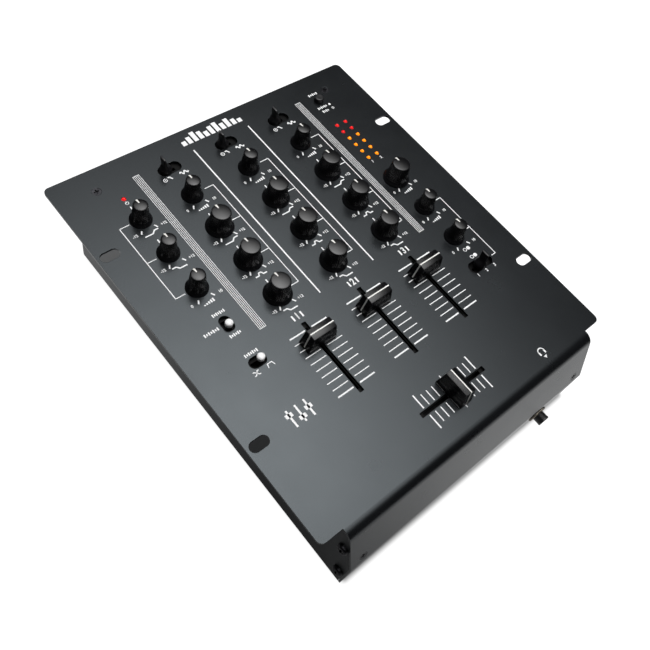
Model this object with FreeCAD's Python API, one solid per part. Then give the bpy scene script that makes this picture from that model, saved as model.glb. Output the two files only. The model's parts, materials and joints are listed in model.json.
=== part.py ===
import FreeCAD, Part
import math
import os

# Three-channel mixing console on a half-rack faceplate.
# Frame: origin at the centre of the faceplate's flat top face, between the four rack slots.
# +X to the user's right, +Y to the rear, +Z up out of the faceplate. All sizes in millimetres.

# ---------------------------------------------------------------- faceplate and case
PANEL_W = 254.0            # half-rack faceplate width
PANEL_REAR = 141.4         # rear edge of the faceplate
EAR_FRONT = -141.4         # front edge of the two rack ears
CORNER_R = 4.0
SHEET = 1.6                # faceplate and apron thickness
SLOT_PITCH_X = 236.525     # half-rack hole spacing across
SLOT_PITCH_Y = 152.4
RACK_SLOT = (13.4, 7.4)    # length along X, width along Y

CASE_W = 222.0             # outside width of the case below the faceplate
CASE_REAR = 128.4          # outside face of the rear panel
CASE_BOTTOM = -66.7        # underside of the tray
WALL = 1.2                 # tray and rear panel thickness
GAP = 0.15                 # assembly clearance between sheets
EASE = 0.2                 # radial room of a hole round a part that passes through it
PAST = 1.0                 # cutting tools run this far past the faces they open

BEND_Y = -142.1            # where the flat top ends and the front bend starts
BEND_R = 8.0               # outside radius of the front bend
LEAN = math.radians(70.9)  # angle the sheet turns through in the front bend
FACE_Y = -160.3            # upright lower part of the front
KNEE_R = 3.0               # outside radius where the sloping front turns upright
LEAD = 10.0                # flat stretch of the front outline behind the bend
FLANGES = ((-25.0, -13.0, -143.0), (-59.0, -44.0, -148.0))  # low, high and rear edge

# ---------------------------------------------------------------- control layout
COLUMN = 47.3              # channel column spacing
MIC_X = -87.2
MASTER_X = 87.4
ROW = 31.0                 # knob row spacing
TOP_ROW = 90.0             # first knob row

BOARD_T = 1.6
BOARD_TOP = -10.0          # control board
MAIN_TOP = -57.0           # main board

# ---------------------------------------------------------------- knobs and potentiometers
POT_SHAFT_R = 3.0
POT_BORE_R = 3.05
POT_BUSH_R = 3.5
POT_HOLE_R = 3.7
POT_HALF = 4.9             # half width of the potentiometer case
POT_FRONT = 6.0            # reach of the case in front of and behind its shaft
POT_BACK = 5.0
SHAFT_LOW = -5.8
SHAFT_TOP = 12.0
BUSH_TOP = 3.0
NUT_ACROSS = 8.0           # hexagon nut across its flats
NUT_TOP = 2.0
LARGE_KNOB = {"skirt": 9.7, "base": 7.9, "top": 6.5, "height": 15.9, "cavity": 6.4}
SMALL_KNOB = {"skirt": 7.55, "base": 5.9, "top": 4.8, "height": 15.4, "cavity": 4.9}
KNOB_FLOOR = 0.3           # gap between faceplate and knob skirt
SKIRT_T = 1.0
KNOB_FOOT = 3.4            # height where the skirt's flare has run out into the tapering body
FLARE_MID = 0.29           # share of the flare's reach left half way up
KNOB_EDGE_R = 0.35         # round between side and top
KNOB_DOME = 0.5            # rise of the top
FLUTES = 24
FLUTE_R = 0.45
FLUTE_OUT = 0.22           # flute axes lie this far outside the body
POINTER_W = 1.5            # raised pointer across the top
POINTER_L = 3.4
RIB_W = 1.0                # raised pointer down the side
RAISED = 0.12

# ---------------------------------------------------------------- faders
FADER_Y = -57.3            # middle of the channel fader slots
FADER_SLOT = (3.5, 57.4)
FADER_SLOT_R = 0.5         # corner radius
FADER_REST = 14.2          # channel faders rest this far behind the middle of their slots
CROSS_X = 0.4
CROSS_Y = -119.2
CAP_BASE = (22.5, 10.4)
CAP_TOP = (18.2, 8.0)
CAP_FLOOR = 0.9
CAP_SHOULDER = 13.9
CAP_RIDGE = 14.7
CAP_WALL = 1.5
CAP_ROOF = 1.6
POST = (4.8, 6.8)          # block inside the cap that grips the blade
GROOVES = (1.3, 1.9, 2.5, 3.1)  # finger grooves behind the ridge
GROOVE_HALF = 0.12
GROOVE_DEPTH = 0.25
STEM = (1.2, 4.0)
STEM_TOP = 9.4
CARRIAGE = (9.0, 8.0)
FADER_LID = -2.2
FADER_CASE = (13.0, 68.0)
FADER_ROOM = (10.6, 56.0)
FADER_SLIT = (2.2, 51.0)

# ---------------------------------------------------------------- toggle and slide switches
TOGGLE_Y = 116.4
TOGGLE_SLOT = (17.6, 9.0)
TOGGLE_LEAN = 10.6         # degrees, source switches rest leaning to the left
TOGGLE_PIVOT_Z = -16.2
TOGGLE_DOME_R = 4.4
TOGGLE_DOME_Z = 1.0
TOGGLE_DOME_LOW = -1.2     # flat underside of the dome
TOGGLE_TIP_Z = 13.4
PADDLE_FOOT_Z = 4.2
PADDLE_WAIST_Z = 6.0
PADDLE_HALF_X = (2.2, 1.2, 0.75)  # half thickness at foot, waist and tip
PADDLE_FOOT_HALF_Y = 3.1
TOGGLE_PIN = (1.2, 5.0)    # cross pin radius and half length
TOGGLE_HUB = (2.6, 3.0)    # hub radius and half length
TOGGLE_STEM = (1.2, 0.9)   # half sizes along X and Y
TOGGLE_ARM = (1.0, 1.5, 5.5)  # half sizes and reach of the contact arm below the pivot
SWITCH_FLOOR = -26.0
SWITCH_HALF_Y = 5.5
SWITCH_RIM = 1.5           # thickness of the switch flange on the board
CUE_SWITCH = (87.5, -61.0)
CUE_SLOT = (21.8, 9.0)
CUE_LEAN = 3.2             # degrees, cue lever rests leaning slightly to the left
SOURCE_CASE = {"half": 9.0, "reach": 4.2, "lid": -2.6}
CUE_CASE = {"half": 12.0, "reach": 6.4, "lid": -3.8}

MODE_SWITCH = (-87.2, -3.1)
MODE_SLOT = (8.0, 11.8)
MODE_THROW = 1.8           # half of the slider's throw
SLOPE_SWITCH = (-87.1, -34.1)
SLOPE_SLOT = (12.3, 7.8)
SLOPE_THROW = 1.9
SLIDER_HALF = 2.2
SLIDER_Z = (-8.0, -5.2)
SLIDER_STEM_R = 1.7
SLIDER_TIP_R = 2.6
SLIDER_TIP_Z = (1.4, 3.2)
SLIDER_CASE_HALF = 4.4
SLIDER_CASE_TOP = -3.4

# ---------------------------------------------------------------- meter, lights
METER_BUTTON = (86.8, 116.5)
BUTTON_R = 3.6
BUTTON_TOP = 4.0
BUTTON_LOW = -3.0
BUTTON_ROUND = 0.9
BUTTON_COLLAR = 0.9        # collar below the faceplate keeps the button in
PLUNGER_R = 1.5
METER_X = (83.0, 91.4)
METER_TOP = 89.8
METER_PITCH = 7.25
METER_ROWS = 6
RED_ROWS = 2               # the two top rows of the meter are red
POWER_LED = (-87.3, 109.6)
LED_R = 1.5
LED_SPRING = -0.4          # height where the round lens starts
LED_COLLAR = 0.35

# ---------------------------------------------------------------- connectors on front and rear
JACK_R = 4.5               # threaded sleeve of the quarter-inch sockets
JACK_BORE_R = 3.2
JACK_REACH = 7.9           # sleeve outside the sheet
JACK_DEPTH = 31.0
JACK_BLOCK = (7.5, 25.0, 6.5)  # half width, depth and half height
JACK_NUT = (7.2, 1.6)      # radius and thickness
HEADPHONE = (71.6, -51.4)  # x and z on the upright front
MIC_JACK = (-57.0, -49.0)  # x and z on the rear panel
RCA_X = (-32.0, -17.0, 2.0, 17.0, 36.0, 51.0, 74.0, 89.0)
RCA_Z = (-34.0, -49.5)
RCA_R = 4.15
RCA_NECK_R = 3.8           # pin sockets pass through the panel on a narrower neck
RCA_STEP = 0.5             # neck shows this much outside the rear panel
RCA_LENGTH = 9.0           # reach of the pin sockets outside the rear panel
RCA_BLOCK = (6.6, 14.0)    # half width and depth of a pair's block
RCA_HOLE_R = 1.7
RCA_WELL_R = 3.5
DC_SOCKET = (-97.0, -50.0)
DC_BOSS_R = 4.6
DC_BOSS_REACH = 0.8
DC_WELL_R = 3.1
DC_WELL_DEPTH = 9.0
DC_PIN_R = 1.0
DC_PIN_SINK = 0.5          # centre pin ends this far inside the rear panel's face
DC_BLOCK = (5.6, 12.0, 6.0)
ROCKER = (-78.0, -42.0)
ROCKER_PIVOT_Y = CASE_REAR - 4.0
ROCKER_R = 8.2
ROCKER_HALF_X = 5.0
ROCKER_PIN_R = 1.2
ROCKER_TILT = 9.0          # degrees either side of level
ROCKER_CASE = (6.5, 9.5)   # half width and half height
ROCKER_FRAME = (7.6, 10.6, 1.8)  # half width, half height and thickness
GROUND_X = -44.0
GROUND_STUD_R = 2.0
GROUND_COLLARS = (3.6, 4.6)  # inner and outer collar radius

# ---------------------------------------------------------------- fasteners and boards
PANEL_SCREW = (98.7, 123.5)
FRONT_SCREW_X = 101.0
FRONT_SCREW_Z = -30.4
SIDE_SCREWS = ((-148.7, -19.3), (-154.7, -51.4))
REAR_SCREWS = ((-60.0, 121.0), (60.0, 121.0))
M3_R = 1.45
M3_TAP_R = 1.5
M4_R = 1.95
CSK_R = 3.1
CSK_H = 1.55
CSK_SINK = 0.1             # countersunk heads sit this far below the surface
SCREW_L = 6.0
FEET = ((-95.0, -138.0), (95.0, -138.0), (-95.0, 108.0), (95.0, 108.0))
FOOT_H = 4.0
FOOT_R = (6.6, 7.5)        # radius at the ground and at the tray
FOOT_WELL = (3.4, 2.4)     # radius and depth of the screw head's well
PANEL_STANDOFFS = [(x, y) for x in (-69.9, 70.5) for y in (100.0, 0.0, -100.0)]
MAIN_STANDOFFS = [(x, y) for x in (-85.0, 85.0) for y in (72.0, 106.0)]
STANDOFF_R = 3.0
BOARD_HALF_X = 104.0
CONTROL_BOARD_Y = (-130.0, 125.5)
MAIN_BOARD_Y = (66.0, 126.0)

HALF_CASE = CASE_W / 2.0
CHANNELS = (-COLUMN, 0.0, COLUMN)
WALL_IN = HALF_CASE - WALL
REAR_IN = CASE_REAR - WALL


# ---------------------------------------------------------------- small builders
def vec(x, y, z):
    return FreeCAD.Vector(x, y, z)


def box(x0, x1, y0, y1, z0, z1):
    return Part.makeBox(x1 - x0, y1 - y0, z1 - z0, vec(x0, y0, z0))


def block(x, y, size, z0, z1):
    """Box centred on x and y; size is its full extent along X and along Y."""
    half_x = size[0] / 2.0
    half_y = size[1] / 2.0
    return box(x - half_x, x + half_x, y - half_y, y + half_y, z0, z1)


def cyl(radius, x, y, z0, z1):
    return Part.makeCylinder(radius, z1 - z0, vec(x, y, z0))


def cyl_x(radius, y, z, x0, x1):
    return Part.makeCylinder(radius, x1 - x0, vec(x0, y, z), vec(1, 0, 0))


def cyl_y(radius, x, z, y0, y1):
    return Part.makeCylinder(radius, y1 - y0, vec(x, y0, z), vec(0, 1, 0))


def fuse(shapes):
    return shapes[0].fuse(shapes[1:]).removeSplitter()


def cut(shape, tools):
    return shape.cut(tools).removeSplitter()


def prism_x(points, x0, x1):
    """Outline of (y, z) points carried from x0 to x1."""
    corners = [vec(x0, y, z) for y, z in points]
    face = Part.Face(Part.makePolygon(corners + corners[:1]))
    return face.extrude(vec(x1 - x0, 0, 0))


def prism_y(points, y0, y1):
    """Outline of (x, z) points carried from y0 to y1."""
    corners = [vec(x, y0, z) for x, z in points]
    face = Part.Face(Part.makePolygon(corners + corners[:1]))
    return face.extrude(vec(0, y1 - y0, 0))


def stadium(x, y, size, z0, z1):
    """Round-ended slot body; size is its full extent along X and along Y."""
    width = min(size)
    half = (max(size) - width) / 2.0
    along_x = size[0] > size[1]
    reach = (half, 0.0) if along_x else (0.0, half)
    middle_size = (2 * half, width) if along_x else (width, 2 * half)
    ends = [cyl(width / 2.0, x + s * reach[0], y + s * reach[1], z0, z1) for s in (-1, 1)]
    return fuse([block(x, y, middle_size, z0, z1)] + ends)


def square_slot(x, y, size, z0, z1):
    """Square-ended slot body with slightly rounded corners."""
    body = block(x, y, size, z0, z1)
    upright = [e for e in body.Edges if e.BoundBox.ZLength > (z1 - z0) / 2.0]
    return body.makeFillet(FADER_SLOT_R, upright)


def frustum(base, top, z0, z1):
    """Straight-sided block from a base rectangle to a smaller top rectangle."""
    wires = []
    for (length, width), z in ((base, z0), (top, z1)):
        a = length / 2.0
        b = width / 2.0
        corners = [vec(-a, -b, z), vec(a, -b, z), vec(a, b, z), vec(-a, b, z)]
        wires.append(Part.makePolygon(corners + corners[:1]))
    return Part.makeLoft(wires, True, True)


def moved(shape, x, y, z=0.0):
    copy = shape.copy()
    copy.translate(vec(x, y, z))
    return copy


def turned(shape, centre, axis, degrees):
    copy = shape.copy()
    copy.rotate(centre, axis, degrees)
    return copy


def shrunk(size, wall):
    """Full extents of a room inside walls of the given thickness."""
    return (size[0] - 2 * wall, size[1] - 2 * wall)


def cross_recess(size, depth, z):
    """Cross-shaped driver recess cut down from height z."""
    half = size / 2.0
    blade = size / 7.0
    return [box(-half, half, -blade, blade, z - depth, z + PAST),
            box(-blade, blade, -half, half, z - depth, z + PAST)]


def export(name, shapes):
    solids = shapes if isinstance(shapes, list) else [shapes]
    shape = solids[0] if len(solids) == 1 else Part.makeCompound(solids)
    shape.exportStep("parts/%s.step" % name)


# ---------------------------------------------------------------- front outline
SIN = math.sin(LEAN)
COS = math.cos(LEAN)
KNEE_Z = (BEND_R - KNEE_R + (FACE_Y + KNEE_R - BEND_Y) * SIN) / COS - BEND_R


def slope_y(z):
    """Y of the sloping front's outside face at height z."""
    start_y = BEND_Y - BEND_R * SIN
    start_z = -BEND_R + BEND_R * COS
    return start_y + (z - start_z) * COS / SIN


def front_edges(depth, x):
    """Front outline, depth inside the outer face, from the flat top down to the bottom."""
    def arc(cy, cz, radius, start, end):
        angles = (start, (start + end) / 2.0, end)
        ends = [vec(x, cy - radius * math.sin(a), cz + radius * math.cos(a)) for a in angles]
        return Part.Arc(ends[0], ends[1], ends[2]).toShape(), ends[0], ends[2]

    bend, bend_in, bend_out = arc(BEND_Y, -BEND_R, BEND_R - depth, 0.0, LEAN)
    knee, knee_in, knee_out = arc(FACE_Y + KNEE_R, KNEE_Z, KNEE_R - depth, LEAN, math.pi / 2.0)
    start = vec(x, BEND_Y + LEAD, -depth)
    end = vec(x, FACE_Y + depth, CASE_BOTTOM)
    edges = [Part.makeLine(start, bend_in), bend, Part.makeLine(bend_out, knee_in),
             knee, Part.makeLine(knee_out, end)]
    return edges, start, end


def apron():
    """Front of the faceplate sheet: bend, sloping face, knee and upright face."""
    outer, outer_start, outer_end = front_edges(0.0, -HALF_CASE)
    inner, inner_start, inner_end = front_edges(SHEET, -HALF_CASE)
    loop = outer + [Part.makeLine(outer_end, inner_end)] + inner[::-1]
    loop.append(Part.makeLine(inner_start, outer_start))
    return Part.Face(Part.Wire(loop)).extrude(vec(CASE_W, 0, 0))


def case_side(x0, x1, height):
    """Flat side wall that follows the inside of the apron, cut off at a height if one is given."""
    edges, start, end = front_edges(SHEET + GAP, x0)
    rear_low = vec(x0, CASE_REAR, CASE_BOTTOM)
    rear_high = vec(x0, CASE_REAR, start.z)
    edges += [Part.makeLine(end, rear_low), Part.makeLine(rear_low, rear_high),
              Part.makeLine(rear_high, start)]
    wall = Part.Face(Part.Wire(edges)).extrude(vec(x1 - x0, 0, 0))
    if height is None:
        return wall
    return wall.common(box(x0 - PAST, x1 + PAST, FACE_Y, CASE_REAR + PAST, CASE_BOTTOM, height))


def slope_place(shape, x, z):
    """Put a shape built upright on z = 0 onto the sloping front, facing outwards."""
    copy = turned(shape, vec(0, 0, 0), vec(1, 0, 0), math.degrees(LEAN))
    return moved(copy, x, slope_y(z), z)


# ---------------------------------------------------------------- fasteners
def countersunk_screw():
    head = Part.makeCone(M3_R, CSK_R, CSK_H, vec(0, 0, -CSK_H - CSK_SINK))
    shank = cyl(M3_R, 0, 0, -SCREW_L, -CSK_H)
    return cut(fuse([head, shank]), cross_recess(3.6, 1.1, -CSK_SINK))


def countersink():
    wide = M3_R + EASE
    cone = Part.makeCone(wide, CSK_R + EASE, CSK_H + GAP, vec(0, 0, -CSK_H - GAP))
    return fuse([cone, cyl(wide, 0, 0, -SHEET - PAST, -SHEET / 2.0)])


def pan_screw(head_r, head_h, shank_r, length):
    """Pan-head screw, head above z = 0, shank below."""
    head = cyl(head_r, 0, 0, 0.0, head_h)
    rim = [e for e in head.Edges if e.BoundBox.ZMin > head_h / 2.0 and len(e.Vertexes) == 1]
    head = head.makeFillet(head_h * 0.6, rim)
    body = fuse([head, cyl(shank_r, 0, 0, -length, 0.0)])
    return cut(body, cross_recess(head_r * 1.15, head_h * 0.6, head_h))


def small_screw(length):
    return pan_screw(2.8, 1.9, M3_R, length)


# ---------------------------------------------------------------- layout of repeated controls
def knob_places():
    """Every rotary control as name, x, y, large or small."""
    places = [("mic_treble", MIC_X, TOP_ROW, False),
              ("mic_bass", MIC_X, TOP_ROW - ROW, False),
              ("mic_gain", MIC_X, TOP_ROW - 2 * ROW, False)]
    for number, x in enumerate(CHANNELS, 1):
        places.append(("ch%d_gain" % number, x, TOP_ROW, False))
        for row, band in enumerate(("treble", "mid", "bass"), 1):
            places.append(("ch%d_%s" % (number, band), x, TOP_ROW - row * ROW, True))
    places += [("master_level", MASTER_X, TOP_ROW - 2 * ROW, True),
               ("cue_gain", MASTER_X, TOP_ROW - 3 * ROW, False),
               ("cue_mix", MASTER_X, TOP_ROW - 4 * ROW, False)]
    return places


def led_places():
    """Red and orange lights of the level meter, top row first."""
    rows = [METER_TOP - METER_PITCH * i for i in range(METER_ROWS)]
    meter = [(x, y) for y in rows for x in METER_X]
    return meter[:2 * RED_ROWS], meter[2 * RED_ROWS:]


# ---------------------------------------------------------------- case
def side_flange(side, z_low, z_high, rear):
    """Inside flange of the apron that takes a side screw."""
    front = [(slope_y(z) if z > KNEE_Z else FACE_Y) + SHEET / 2.0 for z in (z_low, z_high)]
    outline = [(front[0], z_low), (front[1], z_high), (rear, z_high), (rear, z_low)]
    near = WALL_IN - GAP
    ends = sorted((side * near, side * (near - SHEET)))
    return prism_x(outline, ends[0], ends[1])


def panel_openings():
    """Everything cut through the flat faceplate."""
    low = -SHEET - PAST
    high = PAST
    red, orange = led_places()
    tools = [stadium(sx * SLOT_PITCH_X / 2, sy * SLOT_PITCH_Y / 2, RACK_SLOT, low, high)
             for sx in (-1, 1) for sy in (-1, 1)]
    tools += [cyl(POT_HOLE_R, x, y, low, high) for _, x, y, _ in knob_places()]
    tools += [cyl(LED_R + GAP, x, y, low, high) for x, y in red + orange + [POWER_LED]]
    tools += [stadium(x, TOGGLE_Y, TOGGLE_SLOT, low, high) for x in CHANNELS]
    tools.append(stadium(CUE_SWITCH[0], CUE_SWITCH[1], CUE_SLOT, low, high))
    tools.append(stadium(MODE_SWITCH[0], MODE_SWITCH[1], MODE_SLOT, low, high))
    tools.append(stadium(SLOPE_SWITCH[0], SLOPE_SWITCH[1], SLOPE_SLOT, low, high))
    tools.append(cyl(BUTTON_R + EASE, METER_BUTTON[0], METER_BUTTON[1], low, high))
    tools += [square_slot(x, FADER_Y, FADER_SLOT, low, high) for x in CHANNELS]
    tools.append(square_slot(CROSS_X, CROSS_Y, FADER_SLOT[::-1], low, high))
    tools += [moved(countersink(), s * PANEL_SCREW[0], PANEL_SCREW[1]) for s in (-1, 1)]
    return tools


def top_panel():
    plate = box(-PANEL_W / 2, PANEL_W / 2, EAR_FRONT, PANEL_REAR, -SHEET, 0.0)
    upright = [e for e in plate.Edges if abs(e.BoundBox.ZLength - SHEET) < 0.01]
    plate = plate.makeFillet(CORNER_R, upright)
    flanges = [side_flange(side, low, high, rear) for side in (-1, 1) for low, high, rear in FLANGES]
    body = fuse([plate, apron()] + flanges)
    tools = panel_openings()
    tools += [slope_place(countersink(), s * FRONT_SCREW_X, FRONT_SCREW_Z) for s in (-1, 1)]
    tools.append(cyl_y(JACK_R + EASE, HEADPHONE[0], HEADPHONE[1], FACE_Y - PAST, FACE_Y + SHEET + PAST))
    tools += [cyl_x(M4_R + 0.05, y, z, -WALL_IN, WALL_IN) for y, z in SIDE_SCREWS]
    return cut(body, tools)


def front_tab(side):
    """Tray tab behind the sloping front that takes a front screw."""
    half_height = 4.5
    reach = 8.0
    top = -SHEET - GAP
    ends = sorted((side * (FRONT_SCREW_X - reach), side * (WALL_IN + WALL / 2)))
    tab = box(ends[0], ends[1], -half_height, half_height, top - WALL, top)
    tab = tab.cut(cyl(M3_TAP_R, side * FRONT_SCREW_X, 0, top - WALL - PAST, top + PAST))
    return slope_place(tab, 0.0, FRONT_SCREW_Z)


def chassis_tray():
    walls = [case_side(-HALF_CASE, -WALL_IN, None), case_side(WALL_IN, HALF_CASE, None)]
    floor = case_side(-HALF_CASE, HALF_CASE, CASE_BOTTOM + WALL)
    body = fuse(walls + [floor, front_tab(-1), front_tab(1)])
    low = CASE_BOTTOM - PAST
    high = CASE_BOTTOM + WALL + PAST
    tools = [cyl_x(M4_R + EASE, y, z, -HALF_CASE - PAST, HALF_CASE + PAST) for y, z in SIDE_SCREWS]
    tools += [cyl(M3_TAP_R, x, y, low, high) for x, y in FEET]
    tools += [cyl(M3_TAP_R + EASE, x, y, low, high) for x, y in REAR_SCREWS]
    return cut(body, tools)


def rear_openings():
    """Everything cut through the rear panel's upright wall."""
    near = REAR_IN - PAST
    far = CASE_REAR + PAST
    tools = [cyl_y(RCA_R + EASE, x, z, near, far) for x in RCA_X for z in RCA_Z]
    tools.append(cyl_y(JACK_R + EASE, MIC_JACK[0], MIC_JACK[1], near, far))
    tools.append(cyl_y(DC_BOSS_R + EASE, DC_SOCKET[0], DC_SOCKET[1], near, far))
    tools += [cyl_y(GROUND_STUD_R + EASE, GROUND_X, z, near, far) for z in RCA_Z]
    half_x = ROCKER_CASE[0] + EASE
    half_z = ROCKER_CASE[1] + EASE
    tools.append(box(ROCKER[0] - half_x, ROCKER[0] + half_x, near, far,
                     ROCKER[1] - half_z, ROCKER[1] + half_z))
    return tools


def rear_panel():
    half = WALL_IN - GAP
    top = -SHEET - GAP
    floor = CASE_BOTTOM + WALL + GAP
    foot_inset = 4.0
    foot_depth = 11.0
    tab_half = 7.0
    tab_front = PANEL_SCREW[1] - 6.0
    wall = box(-half, half, REAR_IN, CASE_REAR, floor, top)
    foot = box(foot_inset - half, half - foot_inset, REAR_IN - foot_depth, CASE_REAR, floor, floor + WALL)
    tabs = [box(s * PANEL_SCREW[0] - tab_half, s * PANEL_SCREW[0] + tab_half, tab_front, CASE_REAR,
                top - WALL, top) for s in (-1, 1)]
    tools = [cyl(M3_TAP_R, s * PANEL_SCREW[0], PANEL_SCREW[1], top - WALL - PAST, 0.0) for s in (-1, 1)]
    tools += [cyl(M3_TAP_R, x, y, CASE_BOTTOM, floor + WALL + PAST) for x, y in REAR_SCREWS]
    return cut(fuse([wall, foot] + tabs), tools + rear_openings())


def rubber_foot():
    pad = Part.makeCone(FOOT_R[0], FOOT_R[1], FOOT_H, vec(0, 0, -FOOT_H))
    well = cyl(FOOT_WELL[0], 0, 0, -FOOT_H - PAST, -FOOT_H + FOOT_WELL[1])
    return cut(pad, [well, cyl(M3_R + EASE, 0, 0, -FOOT_H - PAST, PAST)])


# ---------------------------------------------------------------- knobs and potentiometers
def knob_outline(k):
    """Half section of a knob: skirt flaring out below a tapering body with a domed top."""
    rim_top = KNOB_FLOOR + SKIRT_T
    bevel = 0.3
    round_in = KNOB_EDGE_R * (1.0 - math.cos(math.radians(45)))
    shoulder = k["height"] - KNOB_DOME
    floor = [vec(0, 0, KNOB_FLOOR), vec(k["skirt"], 0, KNOB_FLOOR)]
    rim = [vec(k["skirt"], 0, rim_top - bevel), vec(k["skirt"] - bevel, 0, rim_top)]
    reach = k["skirt"] - bevel - k["base"]
    flare = vec(k["base"] + FLARE_MID * reach, 0, (rim_top + KNOB_FOOT) / 2.0)
    foot = vec(k["base"], 0, KNOB_FOOT)
    edge_low = vec(k["top"], 0, shoulder - KNOB_EDGE_R)
    edge_mid = vec(k["top"] - round_in, 0, shoulder - round_in)
    edge_high = vec(k["top"] - KNOB_EDGE_R, 0, shoulder)
    dome_mid = vec(k["top"] / 2.0, 0, k["height"] - KNOB_DOME / 4.0)
    top = vec(0, 0, k["height"])
    corners = floor + rim
    edges = [Part.makeLine(a, b) for a, b in zip(corners, corners[1:])]
    edges.append(Part.Arc(rim[-1], flare, foot).toShape())
    edges.append(Part.makeLine(foot, edge_low))
    edges.append(Part.Arc(edge_low, edge_mid, edge_high).toShape())
    edges.append(Part.Arc(edge_high, dome_mid, top).toShape())
    edges.append(Part.makeLine(top, floor[0]))
    return Part.Face(Part.Wire(edges))


def knob_flutes(k):
    """Cutters for the grooves down the tapering side."""
    slant = (k["base"] - k["top"]) / (k["height"] - KNOB_FOOT)
    start = KNOB_FOOT + FLUTE_R
    end = k["height"] + PAST
    low = vec(k["base"] - slant * (start - KNOB_FOOT) + FLUTE_OUT, 0, start)
    high = vec(k["base"] - slant * (end - KNOB_FOOT) + FLUTE_OUT, 0, end)
    flute = Part.makeCylinder(FLUTE_R, (high - low).Length, low, high - low)
    step = 360.0 / FLUTES
    return [turned(flute, vec(0, 0, 0), vec(0, 0, 1), step * (i + 0.5)) for i in range(FLUTES)]


def knob_pointer(k):
    """Raised pointer bar on the top and rib down the rear side."""
    root = k["height"] - 1.2
    brink = k["height"] - 0.6
    inside = 0.6
    bar = [(k["top"] - POINTER_L, root), (k["top"] - POINTER_L, k["height"] + 0.05),
           (k["top"] - KNOB_EDGE_R, k["height"] - KNOB_DOME + 0.06), (k["top"] + RAISED, brink),
           (k["top"] - inside, root)]
    rib = [(k["top"] - inside, root), (k["top"] + RAISED, brink), (k["base"] + RAISED, KNOB_FOOT),
           (k["base"] - inside, KNOB_FOOT)]
    return [prism_x(bar, -POINTER_W / 2, POINTER_W / 2), prism_x(rib, -RIB_W / 2, RIB_W / 2)]


def knob(k):
    """Fluted pointer knob, hollow below, and the round shaft it is pushed on."""
    body = knob_outline(k).revolve(vec(0, 0, 0), vec(0, 0, 1), 360)
    body = body.cut(knob_flutes(k)).fuse(knob_pointer(k))
    hollow = cyl(k["cavity"], 0, 0, 0.0, BUSH_TOP + 0.6)
    bore = cyl(POT_SHAFT_R + 0.02, 0, 0, 0.0, SHAFT_TOP + 0.02)
    shaft = cyl(POT_SHAFT_R, 0, 0, SHAFT_LOW, SHAFT_TOP)
    return [cut(body, [hollow, bore]), shaft]


def pot_body():
    case = box(-POT_HALF, POT_HALF, -POT_FRONT, POT_BACK, BOARD_TOP, -SHEET - GAP)
    bush = cyl(POT_BUSH_R, 0, 0, -SHEET - GAP, BUSH_TOP)
    return cut(fuse([case, bush]), [cyl(POT_BORE_R, 0, 0, SHAFT_LOW - EASE, BUSH_TOP + PAST)])


def pot_nut():
    corner_r = NUT_ACROSS / math.sqrt(3)
    base = 0.02
    angles = [math.radians(60 * i) for i in range(6)]
    corners = [vec(corner_r * math.cos(a), corner_r * math.sin(a), base) for a in angles]
    hexagon = Part.Face(Part.makePolygon(corners + corners[:1])).extrude(vec(0, 0, NUT_TOP))
    return cut(hexagon, [cyl(POT_BUSH_R + 0.05, 0, 0, -PAST, NUT_TOP + PAST)])


# ---------------------------------------------------------------- faders
def fader_body():
    """Hollow slide-potentiometer case for travel along Y."""
    case = block(0, 0, FADER_CASE, BOARD_TOP, FADER_LID)
    channel = block(0, 0, FADER_ROOM, BOARD_TOP + WALL, FADER_LID - 1.0)
    slit = block(0, 0, FADER_SLIT, FADER_LID - 2.0, FADER_LID + PAST)
    return cut(case, [channel, slit])


def fader_stem():
    carriage = block(0, 0, CARRIAGE, BOARD_TOP + WALL + EASE, FADER_LID - 1.4)
    blade = block(0, 0, STEM, FADER_LID - 2.0, STEM_TOP)
    return fuse([carriage, blade])


def groove_floor(y):
    """Bottom of a finger groove on the rear half of the roof."""
    roof = CAP_RIDGE - (CAP_RIDGE - CAP_SHOULDER) * y / (CAP_TOP[1] / 2)
    return roof - GROOVE_DEPTH


def fader_cap():
    """Hollow cap with a shallow roof, ridge along X, pushed on the blade."""
    half_x = CAP_TOP[0] / 2
    half_y = CAP_TOP[1] / 2
    shell = frustum(CAP_BASE, CAP_TOP, CAP_FLOOR, CAP_SHOULDER)
    roof = prism_x([(-half_y, CAP_SHOULDER), (half_y, CAP_SHOULDER), (0.0, CAP_RIDGE)], -half_x, half_x)
    hollow = frustum(shrunk(CAP_BASE, CAP_WALL), shrunk(CAP_TOP, CAP_WALL), CAP_FLOOR,
                     CAP_SHOULDER - CAP_ROOF)
    post = block(0, 0, POST, CAP_FLOOR + 1.0, CAP_SHOULDER - 1.0)
    socket = block(0, 0, shrunk(STEM, -0.02), 0.0, STEM_TOP + 0.02)
    cap = fuse([shell, roof]).cut(hollow)
    grooves = [prism_x([(y - GROOVE_HALF, CAP_RIDGE), (y + GROOVE_HALF, CAP_RIDGE), (y, groove_floor(y))],
                       -half_x - PAST, half_x + PAST) for y in GROOVES]
    return cut(fuse([cap, post]), [socket] + grooves)


# ---------------------------------------------------------------- switches
def toggle_paddle(x, y, tip_half_y):
    """Thin upright finger plate, thicker and wider at its foot."""
    foot, waist, tip = PADDLE_HALF_X
    side = [(x - foot, PADDLE_FOOT_Z), (x + foot, PADDLE_FOOT_Z), (x + waist, PADDLE_WAIST_Z),
            (x + tip, TOGGLE_TIP_Z), (x - tip, TOGGLE_TIP_Z), (x - waist, PADDLE_WAIST_Z)]
    front = [(y - PADDLE_FOOT_HALF_Y, PADDLE_FOOT_Z), (y + PADDLE_FOOT_HALF_Y, PADDLE_FOOT_Z),
             (y + tip_half_y, TOGGLE_TIP_Z), (y - tip_half_y, TOGGLE_TIP_Z)]
    return prism_y(side, y - SWITCH_HALF_Y, y + SWITCH_HALF_Y).common(prism_x(front, x - foot, x + foot))


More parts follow.
